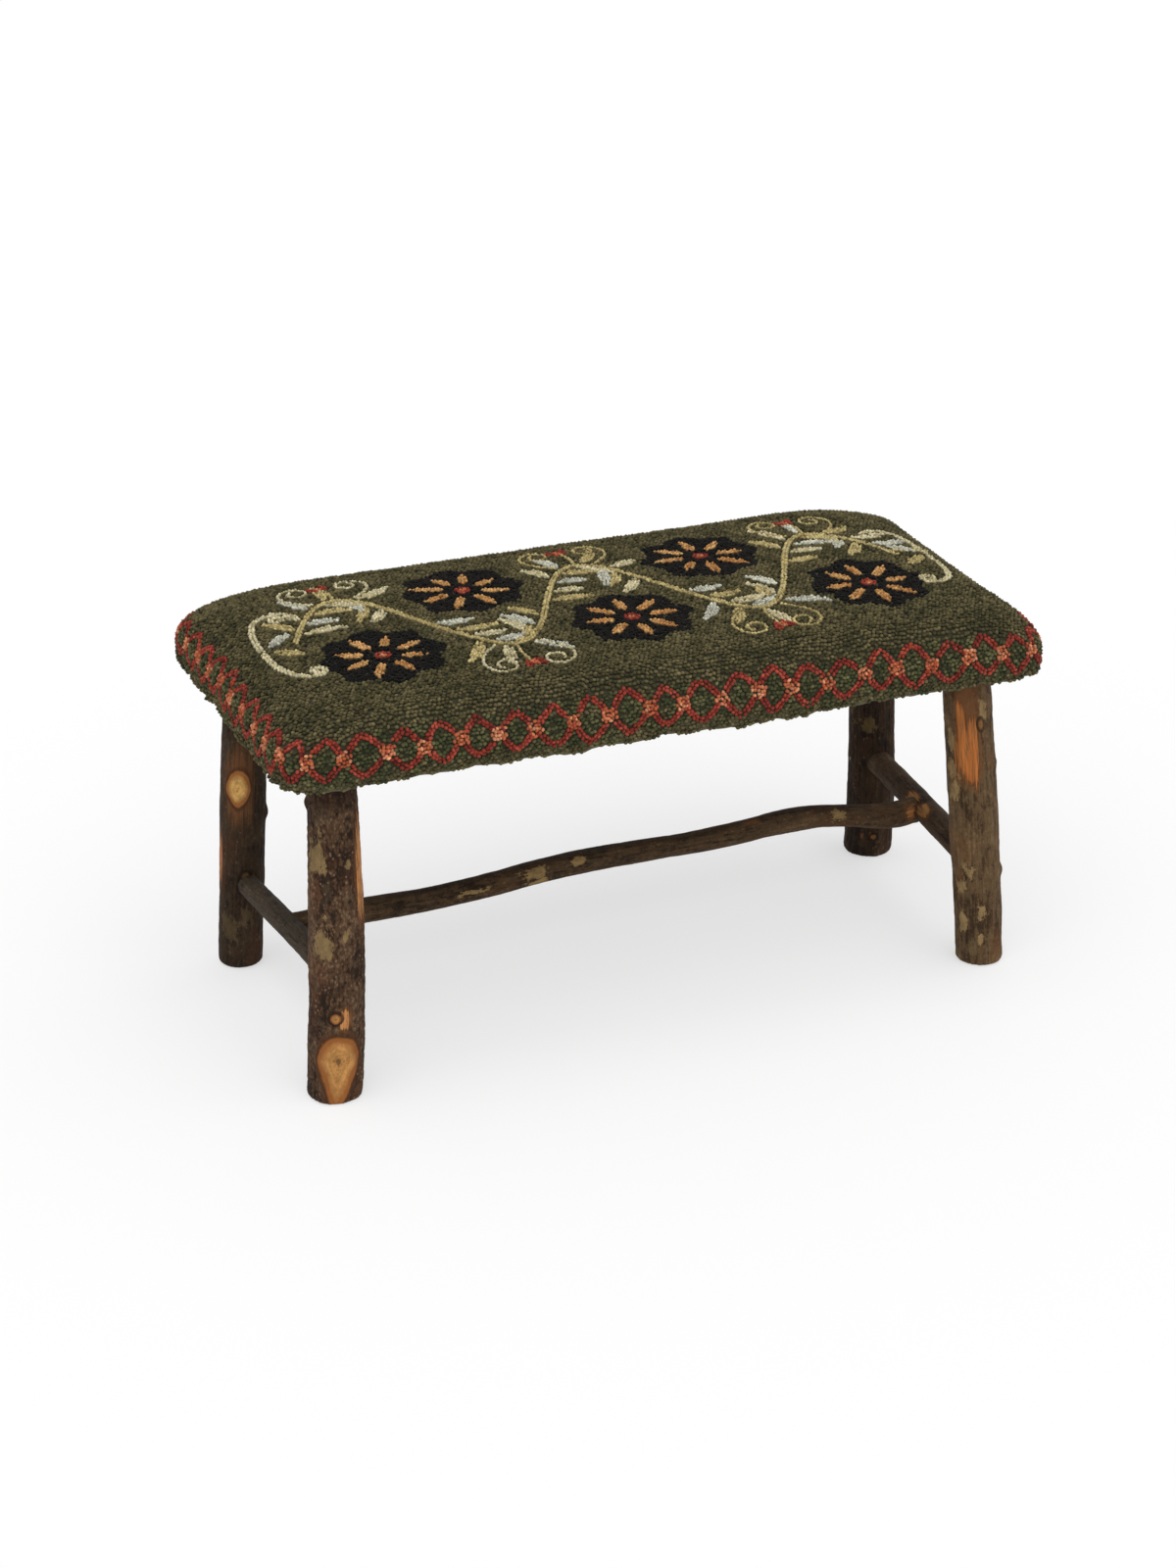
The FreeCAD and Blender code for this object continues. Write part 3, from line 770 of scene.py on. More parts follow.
def make_stick(name, along):
    """A barked stick between two joints, and the round tenons at its ends."""
    tree = cad_tree(name)
    start, end = stick_ends(cad_points(name), along)
    along, length = unit(end - start), np.linalg.norm(end - start)
    up = unit(UP - along * along[2])
    axes = np.cross(along, up), up
    coarse = np.arange(LINE_STEP, length, LINE_STEP)
    straight = start + coarse[:, None] * along
    found, whole = middle_line(tree, straight, axes)
    body = surface_radius(tree, found, spokes(axes, TENON_TURNS))
    tenon_radius = np.nanmedian(body[0])
    whole &= np.nanmedian(body, axis=1) > BODY_SHARE * tenon_radius
    sound = coarse[whole]

    places = np.arange(sound[0] - INTO_JOINT, sound[-1] + INTO_JOINT, RING_STEP)
    scanned = np.clip(places, sound[0], sound[-1])
    bend = sum(np.interp(scanned, sound, ((found - straight) @ way)[whole])[:, None] * way for way in axes)
    radius = surface_radius(tree, start + scanned[:, None] * along + bend, spokes(axes, STICK_TURNS))
    shares = np.append(CAP_SHARES, [1, 1])
    tenon = np.tile(tenon_radius * shares[:, None], STICK_TURNS)
    near, far = np.zeros(len(shares)), np.full(len(shares), length)
    near[-1], far[0] = places[0], places[-1]
    stations = np.concatenate([near, places, far])
    middles = start + stations[:, None] * along
    middles[len(near):-len(far)] += bend
    rings = np.concatenate([tenon, fill_rings(radius), tenon[::-1]])
    return make_log(name, middles, rings, stations, (len(tenon), len(tenon)), axes)


BRADS = search_tree(cad_points("joint_brads"))
for leg in LEGS:
    make_leg(leg)
for rung in ("left_rung", "right_rung"):
    make_stick(rung, BACK)
make_stick("centre_stretcher", RIGHT)


# Seat forms, on the same rings as the solids

SEAT_LOW, SEAT_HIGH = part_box("hooked_cover")
HALF_X, HALF_Y = SEAT_HIGH.x, SEAT_HIGH.y
UNDERSIDE = SEAT_LOW.z
DECK_BOTTOM, DECK_TOP = (corner.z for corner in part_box("seat_deck"))
CORNER_RADIUS = 40 * MM
CORNER_SOFTENING = 105 * MM
CORNER_POINTS = 40
SAME_PLACE = 0.02 * MM
END_SHOULDER, SIDE_SHOULDER = 68 * MM, 48 * MM
CROWN_RISE = 5 * MM
CROWN_STEEPNESS = 1.5
SHOULDER_RISE = SEAT_HIGH.z - CROWN_RISE - DECK_TOP
SIDE_WAIST = 4 * MM
EDGE_ROLL = 5 * MM
HEM_WIDTH = 48 * MM
COVER_THICKNESS = HALF_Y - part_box("seat_batting")[1].y
FOAM_DEPTH = HALF_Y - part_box("seat_deck")[1].y

# One level outline of the seat: how far it is in from the seat's ends and sides, its corner radius, how far
# its sides draw in at their middles, and its height
Ring = namedtuple("Ring", "end_inset side_inset radius waist z")


def side_rings(depth, bottom, count):
    return [Ring(depth, depth, CORNER_RADIUS - depth, 0, z) for z in np.linspace(bottom, DECK_TOP, count)]


def shoulder_rings(depth, count):
    """The round shoulder, depth below the wool's surface."""
    rings = []
    for turn in np.linspace(0, math.pi / 2, count + 1)[1:]:
        fall = 1 - math.cos(turn)
        end_inset = depth + (END_SHOULDER - depth) * fall
        side_inset = depth + (SIDE_SHOULDER - depth) * fall
        radius = CORNER_RADIUS - depth + CORNER_SOFTENING * fall
        z = DECK_TOP + (SHOULDER_RISE - depth) * math.sin(turn)
        rings.append(Ring(end_inset, side_inset, radius, SIDE_WAIST * math.sin(turn), z))
    return rings


def crown_rings(depth, count):
    """The crowned top, in to its middle line."""
    rings = []
    for share in np.linspace(0, 1, count + 1)[1:]:
        inward = share * (HALF_Y - SIDE_SHOULDER)
        rise = 1 - (1 - min(1, CROWN_STEEPNESS * share)) ** 2
        radius = (CORNER_RADIUS - depth + CORNER_SOFTENING) * (1 - share)
        z = DECK_TOP + SHOULDER_RISE - depth + CROWN_RISE * rise
        waist = SIDE_WAIST * (1 - share)
        rings.append(Ring(END_SHOULDER + inward, SIDE_SHOULDER + inward, radius, waist, z))
    return rings


def floor_rings(depth, z, count):
    """A flat underside, in to its middle line."""
    rings = []
    for share in np.linspace(0, 1, count + 1)[1:]:
        inset = depth + share * (HALF_Y - depth)
        rings.append(Ring(inset, inset, (CORNER_RADIUS - depth) * (1 - share), 0, z))
    return rings


def edge_rings(count):
    """The wool's lower edge, from the side round the roll and in under the seat to the hem's inner edge."""
    rings = []
    for turn in np.linspace(math.pi / 2, 0, count + 1)[1:]:
        inset = EDGE_ROLL * (1 - math.sin(turn))
        rings.append(Ring(inset, inset, CORNER_RADIUS, 0, UNDERSIDE + EDGE_ROLL * (1 - math.cos(turn))))
    for inset in np.linspace(EDGE_ROLL, HEM_WIDTH, 2 * count + 1)[1:]:
        rings.append(Ring(inset, inset, CORNER_RADIUS, 0, UNDERSIDE))
    return rings


def outline_places(depth, step):
    """Even places round the seat's outline, from the middle of its front to the right, and its length."""
    core = np.array([HALF_X, HALF_Y]) - CORNER_RADIUS
    radius = CORNER_RADIUS - depth
    quarter = np.linspace(0, math.pi / 2, CORNER_POINTS)
    path = [[(0, -core[1] - radius)]]
    for corner, signs in enumerate(((1, -1), (1, 1), (-1, 1), (-1, -1))):
        path.append(core * signs + radius * ways_at(quarter + (corner - 1) * math.pi / 2))
    path = np.concatenate(path + path[:1])
    length = running_length(path)
    count = 4 * round(length[-1] / step / 4)
    even = np.arange(count) * length[-1] / count
    return points_at(even, length, path), length[-1]


def onto_ring(places, ring):
    """The nearest places on a ring, as points."""
    half = np.array([HALF_X - ring.end_inset, HALF_Y - ring.side_inset])
    core = np.maximum(half - ring.radius, 1e-7)
    middle = np.clip(places, -core, core)
    outward = places - middle
    outward = outward / np.maximum(np.linalg.norm(outward, axis=1, keepdims=True), 1e-9)
    drawn = ring.waist * (1 - (middle / core)[:, ::-1] ** 2) * np.sign(outward)
    flat = middle + outward * ring.radius - drawn
    return np.column_stack([flat, np.full(len(flat), ring.z)])


def sweep(places, rings):
    """Points carried from the outline to each ring in turn, always by the shortest way."""
    grid = []
    for ring in rings:
        grid.append(onto_ring(places, ring))
        places = grid[-1][:, :2]
    return np.array(grid)


def grid_normals(grid):
    """Outward normals of rings of points that run from the underside up to the middle of the top."""
    around = np.roll(grid, -1, 1) - np.roll(grid, 1, 1)
    normals = np.cross(around, np.gradient(grid, axis=0))
    length = np.linalg.norm(normals, axis=-1, keepdims=True)
    return np.where(length > 1e-12, normals / np.maximum(length, 1e-12), UP)


def merged(grid):
    """Points of a grid with those at one place joined, and its quads and triangles that have an area."""
    flat = grid.reshape(-1, 3)
    places = np.round(flat / SAME_PLACE).astype(np.int64)
    _, first, index = np.unique(places, axis=0, return_index=True, return_inverse=True)
    faces = index.reshape(-1)[ring_quads(*grid.shape[:2])]
    distinct = np.array([len(set(face)) for face in faces.tolist()])
    triangles = [list(dict.fromkeys(face)) for face in faces[distinct == 3].tolist()]
    return flat[first], faces[distinct == 4], triangles


# Foundation cloth of the cover

PERIMETER_STEP = 3.5 * MM
EDGE_COUNT, SIDE_COUNT, SHOULDER_COUNT, CROWN_COUNT = 6, 5, 16, 30
PILE_HEIGHT = 3.3 * MM
PILE_START = 8 * MM
UNEVEN = 0.8 * MM
UNEVEN_LAYERS = (1, 85), (0.5, 34)
EDGE_WAVE = 2.1 * MM
EDGE_WAVE_LAYERS = (1, 30), (0.9, 12), (0.5, 7)
WAVE_FADES_UP, WAVE_FADES_UNDER = (6 * MM, 24 * MM), (-25 * MM, -4 * MM)
LEG_HOLE = 0.9
# The cloth's dark olive also serves as painted shade in the gaps between the loops, where it shows
CLOTH_TONES = (44, 43, 28), (70, 68, 48)
CLOTH_THREAD = 1.6
ROLLED_EDGE = colour(96, 90, 64)


def cloth_material(name, tones, thread):
    """Plain weave in two tones, its threads that many millimetres apart, paler on a rolled edge."""
    shader = new_shader(name)
    place = shader.place()
    weave = shader.waves(place, "X", thread, 0.6) * shader.waves(place, "Y", thread, 0.6)
    fuzz = shader.noise(place, (1.2, 1.2, 1.2), 3)
    value = 0.4 * weave + 0.4 * fuzz + 0.2 * shader.noise(place, (40, 40, 40), 3)
    rolled = shader.attribute("rolled") * fuzz.step(0.3, 0.6)
    tint = shader.mix(rolled, shader.between(value, tones, 0.25), ROLLED_EDGE)
    return shader.finish(tint, 0.92, shader.bump(value, 0.4), Specular_IOR_Level=0.15, Sheen_Weight=0.1)


def leg_tops():
    """Middles and radii of the legs where they pass through the seat's underside."""
    for name in LEGS:
        ring = level_ring(cad_points(name), DECK_BOTTOM)[:, :2]
        middle = ring.mean(0)
        yield middle, np.linalg.norm(ring - middle, axis=1).max()


def clear_of_legs(points, faces):
    """The faces of the underside that aren't wholly inside a leg."""
    hidden = np.zeros(len(faces), bool)
    for middle, radius in leg_tops():
        inside = np.linalg.norm(points[:, :2] - middle, axis=1) < LEG_HOLE * radius
        hidden |= (inside & (points[:, 2] < DECK_BOTTOM))[faces].all(1)
    return faces[~hidden]


def cover_grid():
    """The foundation cloth as rings of points, each point's way up the cloth from the lower edge, and how
    long the outline is."""
    places, perimeter = outline_places(0, PERIMETER_STEP)
    under = sweep(places, edge_rings(EDGE_COUNT))[::-1]
    sides = side_rings(0, UNDERSIDE + EDGE_ROLL, SIDE_COUNT)
    over = sweep(places, sides + shoulder_rings(0, SHOULDER_COUNT) + crown_rings(0, CROWN_COUNT))
    grid = np.concatenate([under, over])
    steps = np.linalg.norm(np.diff(grid, axis=0), axis=-1)
    height = np.concatenate([np.zeros((1, len(places))), steps.cumsum(0)])
    height -= height[len(under) - EDGE_COUNT]

    flat = grid.reshape(-1, 3)
    swell = layered(flat, UNEVEN_LAYERS, COVER_SEED).reshape(height.shape)
    offset = (UNEVEN * swell - PILE_HEIGHT) * smooth_step(0, PILE_START, height)
    wave = layered(at_floor(flat), EDGE_WAVE_LAYERS, EDGE_SEED).reshape(height.shape)
    drop = EDGE_WAVE * wave * (1 - smooth_step(*WAVE_FADES_UP, height))
    drop *= smooth_step(*WAVE_FADES_UNDER, height)
    grid = grid + offset[..., None] * grid_normals(grid)
    grid[..., 2] += drop
    return grid, height, perimeter


COVER, COVER_HEIGHT, PERIMETER = cover_grid()


def make_foundation():
    points, quads, triangles = merged(COVER)
    quads = clear_of_legs(points, quads)
    material = cloth_material("foundation_cloth", CLOTH_TONES, CLOTH_THREAD)
    piece = new_piece("cover_foundation", "hooked_wool", material, points, quads, triangles)
    low, high = UNDERSIDE - EDGE_WAVE, UNDERSIDE + 2 * EDGE_ROLL
    outer = np.maximum(np.abs(points[:, 0]) - HALF_X, np.abs(points[:, 1]) - HALF_Y) > -2 * EDGE_ROLL
    store(piece, "rolled", outer * (points[:, 2] > low) * (points[:, 2] < high))
    across = 2 * COVER_HEIGHT[-1, 0] + 2 * HEM_WIDTH
    along = 2 * (COVER_HEIGHT[-1, COVER.shape[1] // 4] + COVER[-1, :, 0].max()) + 2 * HEM_WIDTH
    area = sum(face.area for face in piece.data.polygons)
    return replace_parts(piece, "hooked_cover")


make_foundation()


# Wool loops of the cover

# Tones of each yarn: its own, a lighter and a darker strand
YARNS = {
    "olive": ((79, 73, 46), (97, 88, 59), (59, 56, 34)),
    "black": ((18, 16, 13), (25, 22, 18), (13, 12, 11)),
    "tan": ((178, 132, 80), (160, 110, 62), (192, 150, 96)),
    "cream": ((188, 178, 142), (202, 193, 158), (168, 157, 118)),
    "mist": ((182, 181, 164), (164, 163, 147), (198, 196, 178)),
    "gold": ((170, 154, 104), (152, 135, 88), (186, 170, 120)),
    "red": ((133, 51, 38), (115, 41, 32), (151, 67, 52)),
    "orange": ((170, 95, 63), (194, 134, 99), (154, 76, 48)),
    "moss": ((72, 72, 44), (92, 90, 58), (50, 56, 33)),
}
YARN = {name: number for number, name in enumerate(YARNS)}
YARN_TONES = np.array([[colour(*tone) for tone in tones] for tones in YARNS.values()])

# Places for loops: points on the cloth, the way each loop runs, its yarn and how large it is
Seeds = namedtuple("Seeds", "points ways yarns sizes")

LOOP_STEP = 4.2 * MM
ROW_STEP = 3.6 * MM
ROW_DRIFT = 3.4 * MM
FIELD_GAP = 3.2 * MM
STROKE_GAP = 2.5 * MM
FILL_STEP = 3.0 * MM
ROW_JITTER, FILL_JITTER = 0.9 * MM, 1.2 * MM
BEAD_JITTER = 0.25 * MM
TOP_SLOPE = 0.62
SLOPE_OVERLAP = 0.06
BARE_EDGE = 3.0 * MM
LEG_EDGE = 6.5 * MM
LEG_EDGE_HALF = 36 * MM
LEG_EDGE_FADE = 0.7 * LEG_EDGE_HALF, 1.3 * LEG_EDGE_HALF
SKIRT_HEIGHT = 92 * MM
SKIRT_MARGIN = 4 * MM
SKIRT_STEP = 0.5 * MM
SKIRT_LEVELS = np.arange(0, SKIRT_HEIGHT, SKIRT_STEP)
# The cover's skirt at each place round it, at even steps up from its lower edge
SKIRT = np.array([points_at(SKIRT_LEVELS, COVER_HEIGHT[:, i], COVER[:, i]) for i in range(COVER.shape[1])])
COVER_TREE = BVHTree.FromPolygons(COVER.reshape(-1, 3).tolist(), ring_quads(*COVER.shape[:2]).tolist())
chance = np.random.default_rng(CHANCE_SEED)


def joined(parts):
    return Seeds(*(np.concatenate(column) for column in zip(*parts)))


def picked(seeds, kept):
    return Seeds(*(column[kept] for column in seeds))


def cover_normals(points):
    return np.array([COVER_TREE.find_nearest(point)[1] for point in points])


def on_skirt(flat):
    """Points of the skirt laid flat: how far round it, and how far up from its lower edge."""
    turns, steps = SKIRT.shape[:2]
    turn = flat[:, 0] / PERIMETER % 1 * turns
    step = np.clip(flat[:, 1] / SKIRT_STEP, 0, steps - 1.001)
    left, low = turn.astype(int), step.astype(int)
    across, up = (turn - left)[:, None], (step - low)[:, None]
    right, left = (left + 1) % turns, left % turns
    lower = SKIRT[left, low] * (1 - across) + SKIRT[right, low] * across
    upper = SKIRT[left, low + 1] * (1 - across) + SKIRT[right, low + 1] * across
    return lower * (1 - up) + upper * up


def skirt_seeds(flat, ways, yarns, size):
    """Seeds on the skirt from flat places and flat directions."""
    points = on_skirt(flat)
    ahead = on_skirt(flat + ways * MM)
    return Seeds(points, unit(ahead - points), np.broadcast_to(yarns, len(flat)), np.full(len(flat), size))


def top_seeds(flat, ways, yarns, size):
    """Seeds on the top from places and directions seen from above; those past its edge are left out."""
    down = Vector((0, 0, -1))
    points = np.full((len(flat), 3), np.nan)
    for i, (x, y) in enumerate(flat):
        spot, normal = COVER_TREE.ray_cast(Vector((x, y, 1)), down)[:2]
        if spot is not None and normal.z > TOP_SLOPE:
            points[i] = spot
    seeds = Seeds(points, at_floor(ways), np.broadcast_to(yarns, len(flat)), np.full(len(flat), size))
    return picked(seeds, ~np.isnan(points[:, 0]))


def beads(line, pitch, zigzag, offset=0.0):
    """Places at even steps along a flat line, by turns to either side of it, and the line's way at each."""
    length = running_length(line)
    at = np.arange(pitch / 2, length[-1], pitch)
    spots = points_at(at, length, line)
    ways = unit(points_at(at, length, unit(np.gradient(line, axis=0))))
    side = offset + np.where(np.arange(len(at)) % 2, zigzag, -zigzag)
    spots = spots + side[:, None] * np.column_stack([-ways[:, 1], ways[:, 0]])
    return spots + chance.normal(0, BEAD_JITTER, spots.shape), ways


# Chain of diamonds round the skirt

DIAMONDS = 62
BORDER_MIDDLE = 36 * MM
DIAMOND_HALF = 21 * MM
DIAMOND_SIZES = 0.88, 1.08
PEAK_SHIFT = 0.06
PEAK_POWERS = 1.1, 1.7
SIDE_POINTS = 60
KNOT_SHIFT_X, KNOT_SHIFT_Y = 2.5, 2
LINE_PITCH = 2.2 * MM
LINE_ZIGZAG = 1.75 * MM
KNOT_RADIUS = 8 * MM
KNOT_BEADS = 26
KNOT_START = 0.3
KNOT_TURN = 2.4
KNOT_JITTER = 0.5 * MM
KNOT_SIZE = 0.95


def diamond_side(start, end, side):
    """The upper or lower side of one diamond, a little different each time."""
    share = np.linspace(0, 1, SIDE_POINTS)[:, None]
    peak = 0.5 + chance.uniform(-PEAK_SHIFT, PEAK_SHIFT)
    power = chance.uniform(*PEAK_POWERS)
    half = DIAMOND_HALF * chance.uniform(*DIAMOND_SIZES)
    away = np.where(share < peak, 1 - share / peak, (share - peak) / (1 - peak))
    return start * (1 - share) + end * share + np.array([0, side * half]) * (1 - away ** power)


def border_seeds():
    """Red diamonds and the orange knots between them."""
    around = np.arange(DIAMONDS) * (PERIMETER / DIAMONDS)
    knots = np.column_stack([
        around + chance.uniform(-KNOT_SHIFT_X, KNOT_SHIFT_X, DIAMONDS) * MM,
        BORDER_MIDDLE + chance.uniform(-KNOT_SHIFT_Y, KNOT_SHIFT_Y, DIAMONDS) * MM,
    ])
    ends = np.roll(knots, -1, axis=0)
    ends[-1, 0] += PERIMETER
    bead = np.arange(KNOT_BEADS)
    reach = KNOT_RADIUS * np.sqrt((bead + KNOT_START) / KNOT_BEADS)
    parts = []
    for start, end in zip(knots, ends):
        for side in (1, -1):
            spots, ways = beads(diamond_side(start, end, side), LINE_PITCH, LINE_ZIGZAG)
            parts.append(skirt_seeds(spots, ways, YARN["red"], 1.0))
        out = ways_at(bead * KNOT_TURN + chance.uniform(0, TAU))
        flat = start + out * reach[:, None]
        flat += chance.normal(0, KNOT_JITTER, flat.shape)
        ways = np.column_stack([-out[:, 1], out[:, 0]])
        parts.insert(0, skirt_seeds(flat, ways, YARN["orange"], KNOT_SIZE))
    return joined(parts)


# Vine, leaves, buds and rosettes on the top

CURVE_POINTS, VINE_POINTS, CURL_POINTS, CIRCLE_POINTS = 40, 400, 80, 30
VINE_LENGTH = 264 * MM
VINE_SWING = 88 * MM
VINE_HALF = 330 * MM
ROSETTE_RADIUS = 62 * MM
ROSETTE_SCALLOPS = 8
HALF_SCALLOP = 180 / ROSETTE_SCALLOPS
SCALLOP_MEAN, SCALLOP_DEPTH = 0.97, 0.07
ROSETTES = np.array([(0, -66), (-132, 66), (132, 66), (-262, -66), (262, -66)]) * MM
ROSETTE_RINGS = (2.4 * MM, "orange"), (6.6 * MM, "red")
DASH_START, DASH_LENGTH = 19 * MM, 31 * MM
DASH_SIZES = 0.85, 1.1
DASH_BEND = 14
DASH_ROWS, DASH_TAPER = 3, 0.55
STROKE_ROW = 3.1 * MM
STROKE_PITCH = 3.2 * MM
STROKE_ZIGZAG = 0.4 * MM
STROKE_SIZE = 0.92
STROKE_TIP = 0.4 * STROKE_ROW
TAPER_POWER = 0.8
LEAF_LENGTH = 60 * MM
LEAF_SIZES = 0.8, 1.1
LEAF_ANGLE, LEAF_BEND = 38, 50
LEAF_STEP = 26 * MM
LEAF_ROWS = 4
LEAF_YARNS = "cream", "gold", "mist"
LEAF_CLEARANCE = 3 * MM
LEAF_STALK = 5
STEM_LENGTH, STEM_BEND = 34 * MM, 30
BUD_LENGTH, PETAL_LENGTH = 17 * MM, 22 * MM
BUD_TAPER, PETAL_TAPER = 0.8, 0.7
BUD_RISE, BUD_TILT = 4 * MM, 15
PETAL_ANGLE, PETAL_BEND = 62, 80
CURL_LEAD, CURL_TURN = 20, 460
TENDRIL_LENGTH = 136 * MM
TENDRIL_ANGLE, TENDRIL_LATE = 38, 2.2
TENDRIL_OUT, TENDRIL_BACK = 20 * MM, 2 * MM
SCROLL_X = 363 * MM
SCROLL_LENGTH = 140 * MM
SCROLL_LATE = 4.4
SCROLL_LEAF = 42 * MM
SCROLL_LEAF_IN, SCROLL_LEAF_OFF = 8 * MM, 4 * MM
SCROLL_LEAF_ANGLE, SCROLL_LEAF_BEND = 38, 24


def curve(start, heading, length, bend):
    """A flat line that turns evenly; the heading and the bend over its length are in degrees."""
    angles = np.radians(heading + bend * np.linspace(0, 1, CURVE_POINTS))
    steps = length / CURVE_POINTS * ways_at(angles)
    return np.asarray(start) + np.concatenate([np.zeros((1, 2)), steps.cumsum(0)])


def stroke(line, rows, yarn, taper=0.0):
    """A line hooked in rows side by side; with taper 1 it is drawn to a point at both ends."""
    parts = []
    for row in range(rows):
        offset = (row - (rows - 1) / 2) * STROKE_ROW
        spots, ways = beads(line, STROKE_PITCH, STROKE_ZIGZAG, offset)
        share = np.linspace(0, 1, len(spots))
        room = rows / 2 * STROKE_ROW * (1 - taper + taper * np.sin(math.pi * share ** TAPER_POWER))
        kept = np.abs(offset) <= np.maximum(room, STROKE_TIP)
        parts.append(top_seeds(spots[kept], ways[kept], YARN[yarn], STROKE_SIZE))
    return joined(parts)


def vine_line():
    x = np.linspace(-VINE_HALF, VINE_HALF, VINE_POINTS)
    return np.column_stack([x, VINE_SWING * np.cos(TAU * x / VINE_LENGTH)])


def from_rosettes(flat):
    """Distance of flat places past the scalloped edge of the nearest rosette; less than 0 inside it."""
    nearest = np.full(len(flat), 1.0)
    for centre in ROSETTES:
        away = flat - centre
        turn = np.arctan2(away[:, 1], away[:, 0])
        edge = ROSETTE_RADIUS * (SCALLOP_MEAN + SCALLOP_DEPTH * np.cos(ROSETTE_SCALLOPS * turn))
        nearest = np.minimum(nearest, np.linalg.norm(away, axis=1) - edge)
    return nearest


def rosette_strokes(centre, turn):
    """Dashes all round, and two small rings in the middle."""
    parts = []
    for heading in turn + np.arange(ROSETTE_SCALLOPS) * 360 / ROSETTE_SCALLOPS:
        start = centre + ways_at(math.radians(heading)) * DASH_START
        length = DASH_LENGTH * chance.uniform(*DASH_SIZES)
        dash = curve(start, heading, length, chance.uniform(-DASH_BEND, DASH_BEND))
        parts.append(stroke(dash, DASH_ROWS, "tan", DASH_TAPER))
    for radius, yarn in ROSETTE_RINGS:
        parts.append(stroke(centre + radius * ways_at(np.linspace(0, TAU, CIRCLE_POINTS)), 1, yarn))
    return parts


def leaf_strokes():
    """Leaves along both sides of the vine, in turn, clear of the rosettes."""
    line = vine_line()
    length = running_length(line)
    at = np.arange(LEAF_STEP / 2, length[-1], LEAF_STEP / 2)
    ways = points_at(at, length, np.gradient(line, axis=0))
    parts = []
    for i, (start, way) in enumerate(zip(points_at(at, length, line), ways)):
        side = 1 if i % 2 else -1
        heading = math.degrees(math.atan2(way[1], way[0])) + side * LEAF_ANGLE
        blade = curve(start, heading, LEAF_LENGTH * chance.uniform(*LEAF_SIZES), side * LEAF_BEND)
        if from_rosettes(blade).min() > LEAF_CLEARANCE:
            parts.append(stroke(blade[LEAF_STALK:], LEAF_ROWS, LEAF_YARNS[i % len(LEAF_YARNS)], 1.0))
    return parts


def bud_strokes(start, heading):
    """A bud on a bent stem: two red petals round an orange middle."""
    stem = curve(start, heading, STEM_LENGTH, STEM_BEND)
    end, facing = stem[-1], heading + STEM_BEND
    parts = [stroke(stem, 1, "gold"), stroke(curve(end, facing, BUD_LENGTH, 0), 2, "orange", BUD_TAPER)]
    for side in (-1, 1):
        petal = curve(end, facing + side * PETAL_ANGLE, PETAL_LENGTH, -side * PETAL_BEND)
        parts.append(stroke(petal, 2, "red", PETAL_TAPER))
    return parts


def curl_strokes(start, heading, side, length, late, rows, yarn):
    """A line that curls in ever tighter; the higher late is, the longer it runs nearly straight first."""
    share = np.linspace(0, 1, CURL_POINTS)
    angles = np.radians(heading + side * (CURL_LEAD * share + CURL_TURN * share ** late))
    steps = length / CURL_POINTS * ways_at(angles)
    return stroke(np.asarray(start) + steps.cumsum(0), rows, yarn)


def design_seeds():
    parts = []
    for i, centre in enumerate(ROSETTES):
        parts += rosette_strokes(centre, HALF_SCALLOP * (i % 2))
    for i, (x, y) in enumerate(ROSETTES):
        side = -math.copysign(1, y)
        crest = np.array([x, side * VINE_SWING])
        parts += bud_strokes(crest + [0, side * BUD_RISE], 90 * side - BUD_TILT)
        yarn = ("gold", "cream")[i % 2]
        for turn in (-1, 1):
            start = crest + [turn * TENDRIL_OUT, -side * TENDRIL_BACK]
            heading = 90 - turn * (90 - TENDRIL_ANGLE * side)
            parts.append(curl_strokes(start, heading, turn * side, TENDRIL_LENGTH, TENDRIL_LATE, 1, yarn))
    for x, y in product((-1, 1), repeat=2):
        turn = x * y
        parts.append(curl_strokes((x * SCROLL_X, 0), 90 * y, turn, SCROLL_LENGTH, SCROLL_LATE, 2, "cream"))
        start = x * (SCROLL_X - SCROLL_LEAF_IN), y * SCROLL_LEAF_OFF
        leaf = curve(start, 90 * y + turn * SCROLL_LEAF_ANGLE, SCROLL_LEAF, turn * SCROLL_LEAF_BEND)
        parts.append(stroke(leaf, LEAF_ROWS, "mist" if y > 0 else "gold", 1.0))
    line = vine_line()
    parts.append(stroke(line[from_rosettes(line) > 0], 2, "gold"))
    return joined(parts + leaf_strokes())


# Rows of the field

DRIFT_CLOUD, MOSS_CLOUD = 42, 11
MOSS_FADE = 0.5 * DIAMOND_HALF, 1.4 * DIAMOND_HALF
MOSS_RAGGED, MOSS_LIMIT = 0.8, 0.5
# How far loops on the top lie off their even places, in millimetres
TOP_SHIFT_X, TOP_SHIFT_Y, FILL_SHIFT = 0.8, 0.9, 1.2
FILL_SIZE = 0.95


def top_yarns(flat):
    return np.where(from_rosettes(flat) < 0, YARN["black"], YARN["olive"])


def top_rows():
    """Staggered rows along the seat that wander a little."""
    parts = []
    for row, y in enumerate(np.arange(-HALF_Y, HALF_Y, ROW_STEP)):
        x = np.arange(-HALF_X + LOOP_STEP / 2 * (row % 2), HALF_X, LOOP_STEP)
        x = x + chance.uniform(-TOP_SHIFT_X, TOP_SHIFT_X, len(x)) * MM
        even = at_floor(np.column_stack([x, np.full(len(x), y)]))
        drift = ROW_DRIFT * noise(even, DRIFT_CLOUD, DRIFT_SEED)
        shift = chance.uniform(-TOP_SHIFT_Y, TOP_SHIFT_Y, len(x)) * MM
        parts.append(np.column_stack([x, y + drift + shift]))
    flat = np.concatenate(parts)
    return top_seeds(flat, np.tile(RIGHT[:2], (len(flat), 1)), top_yarns(flat), 1.0)


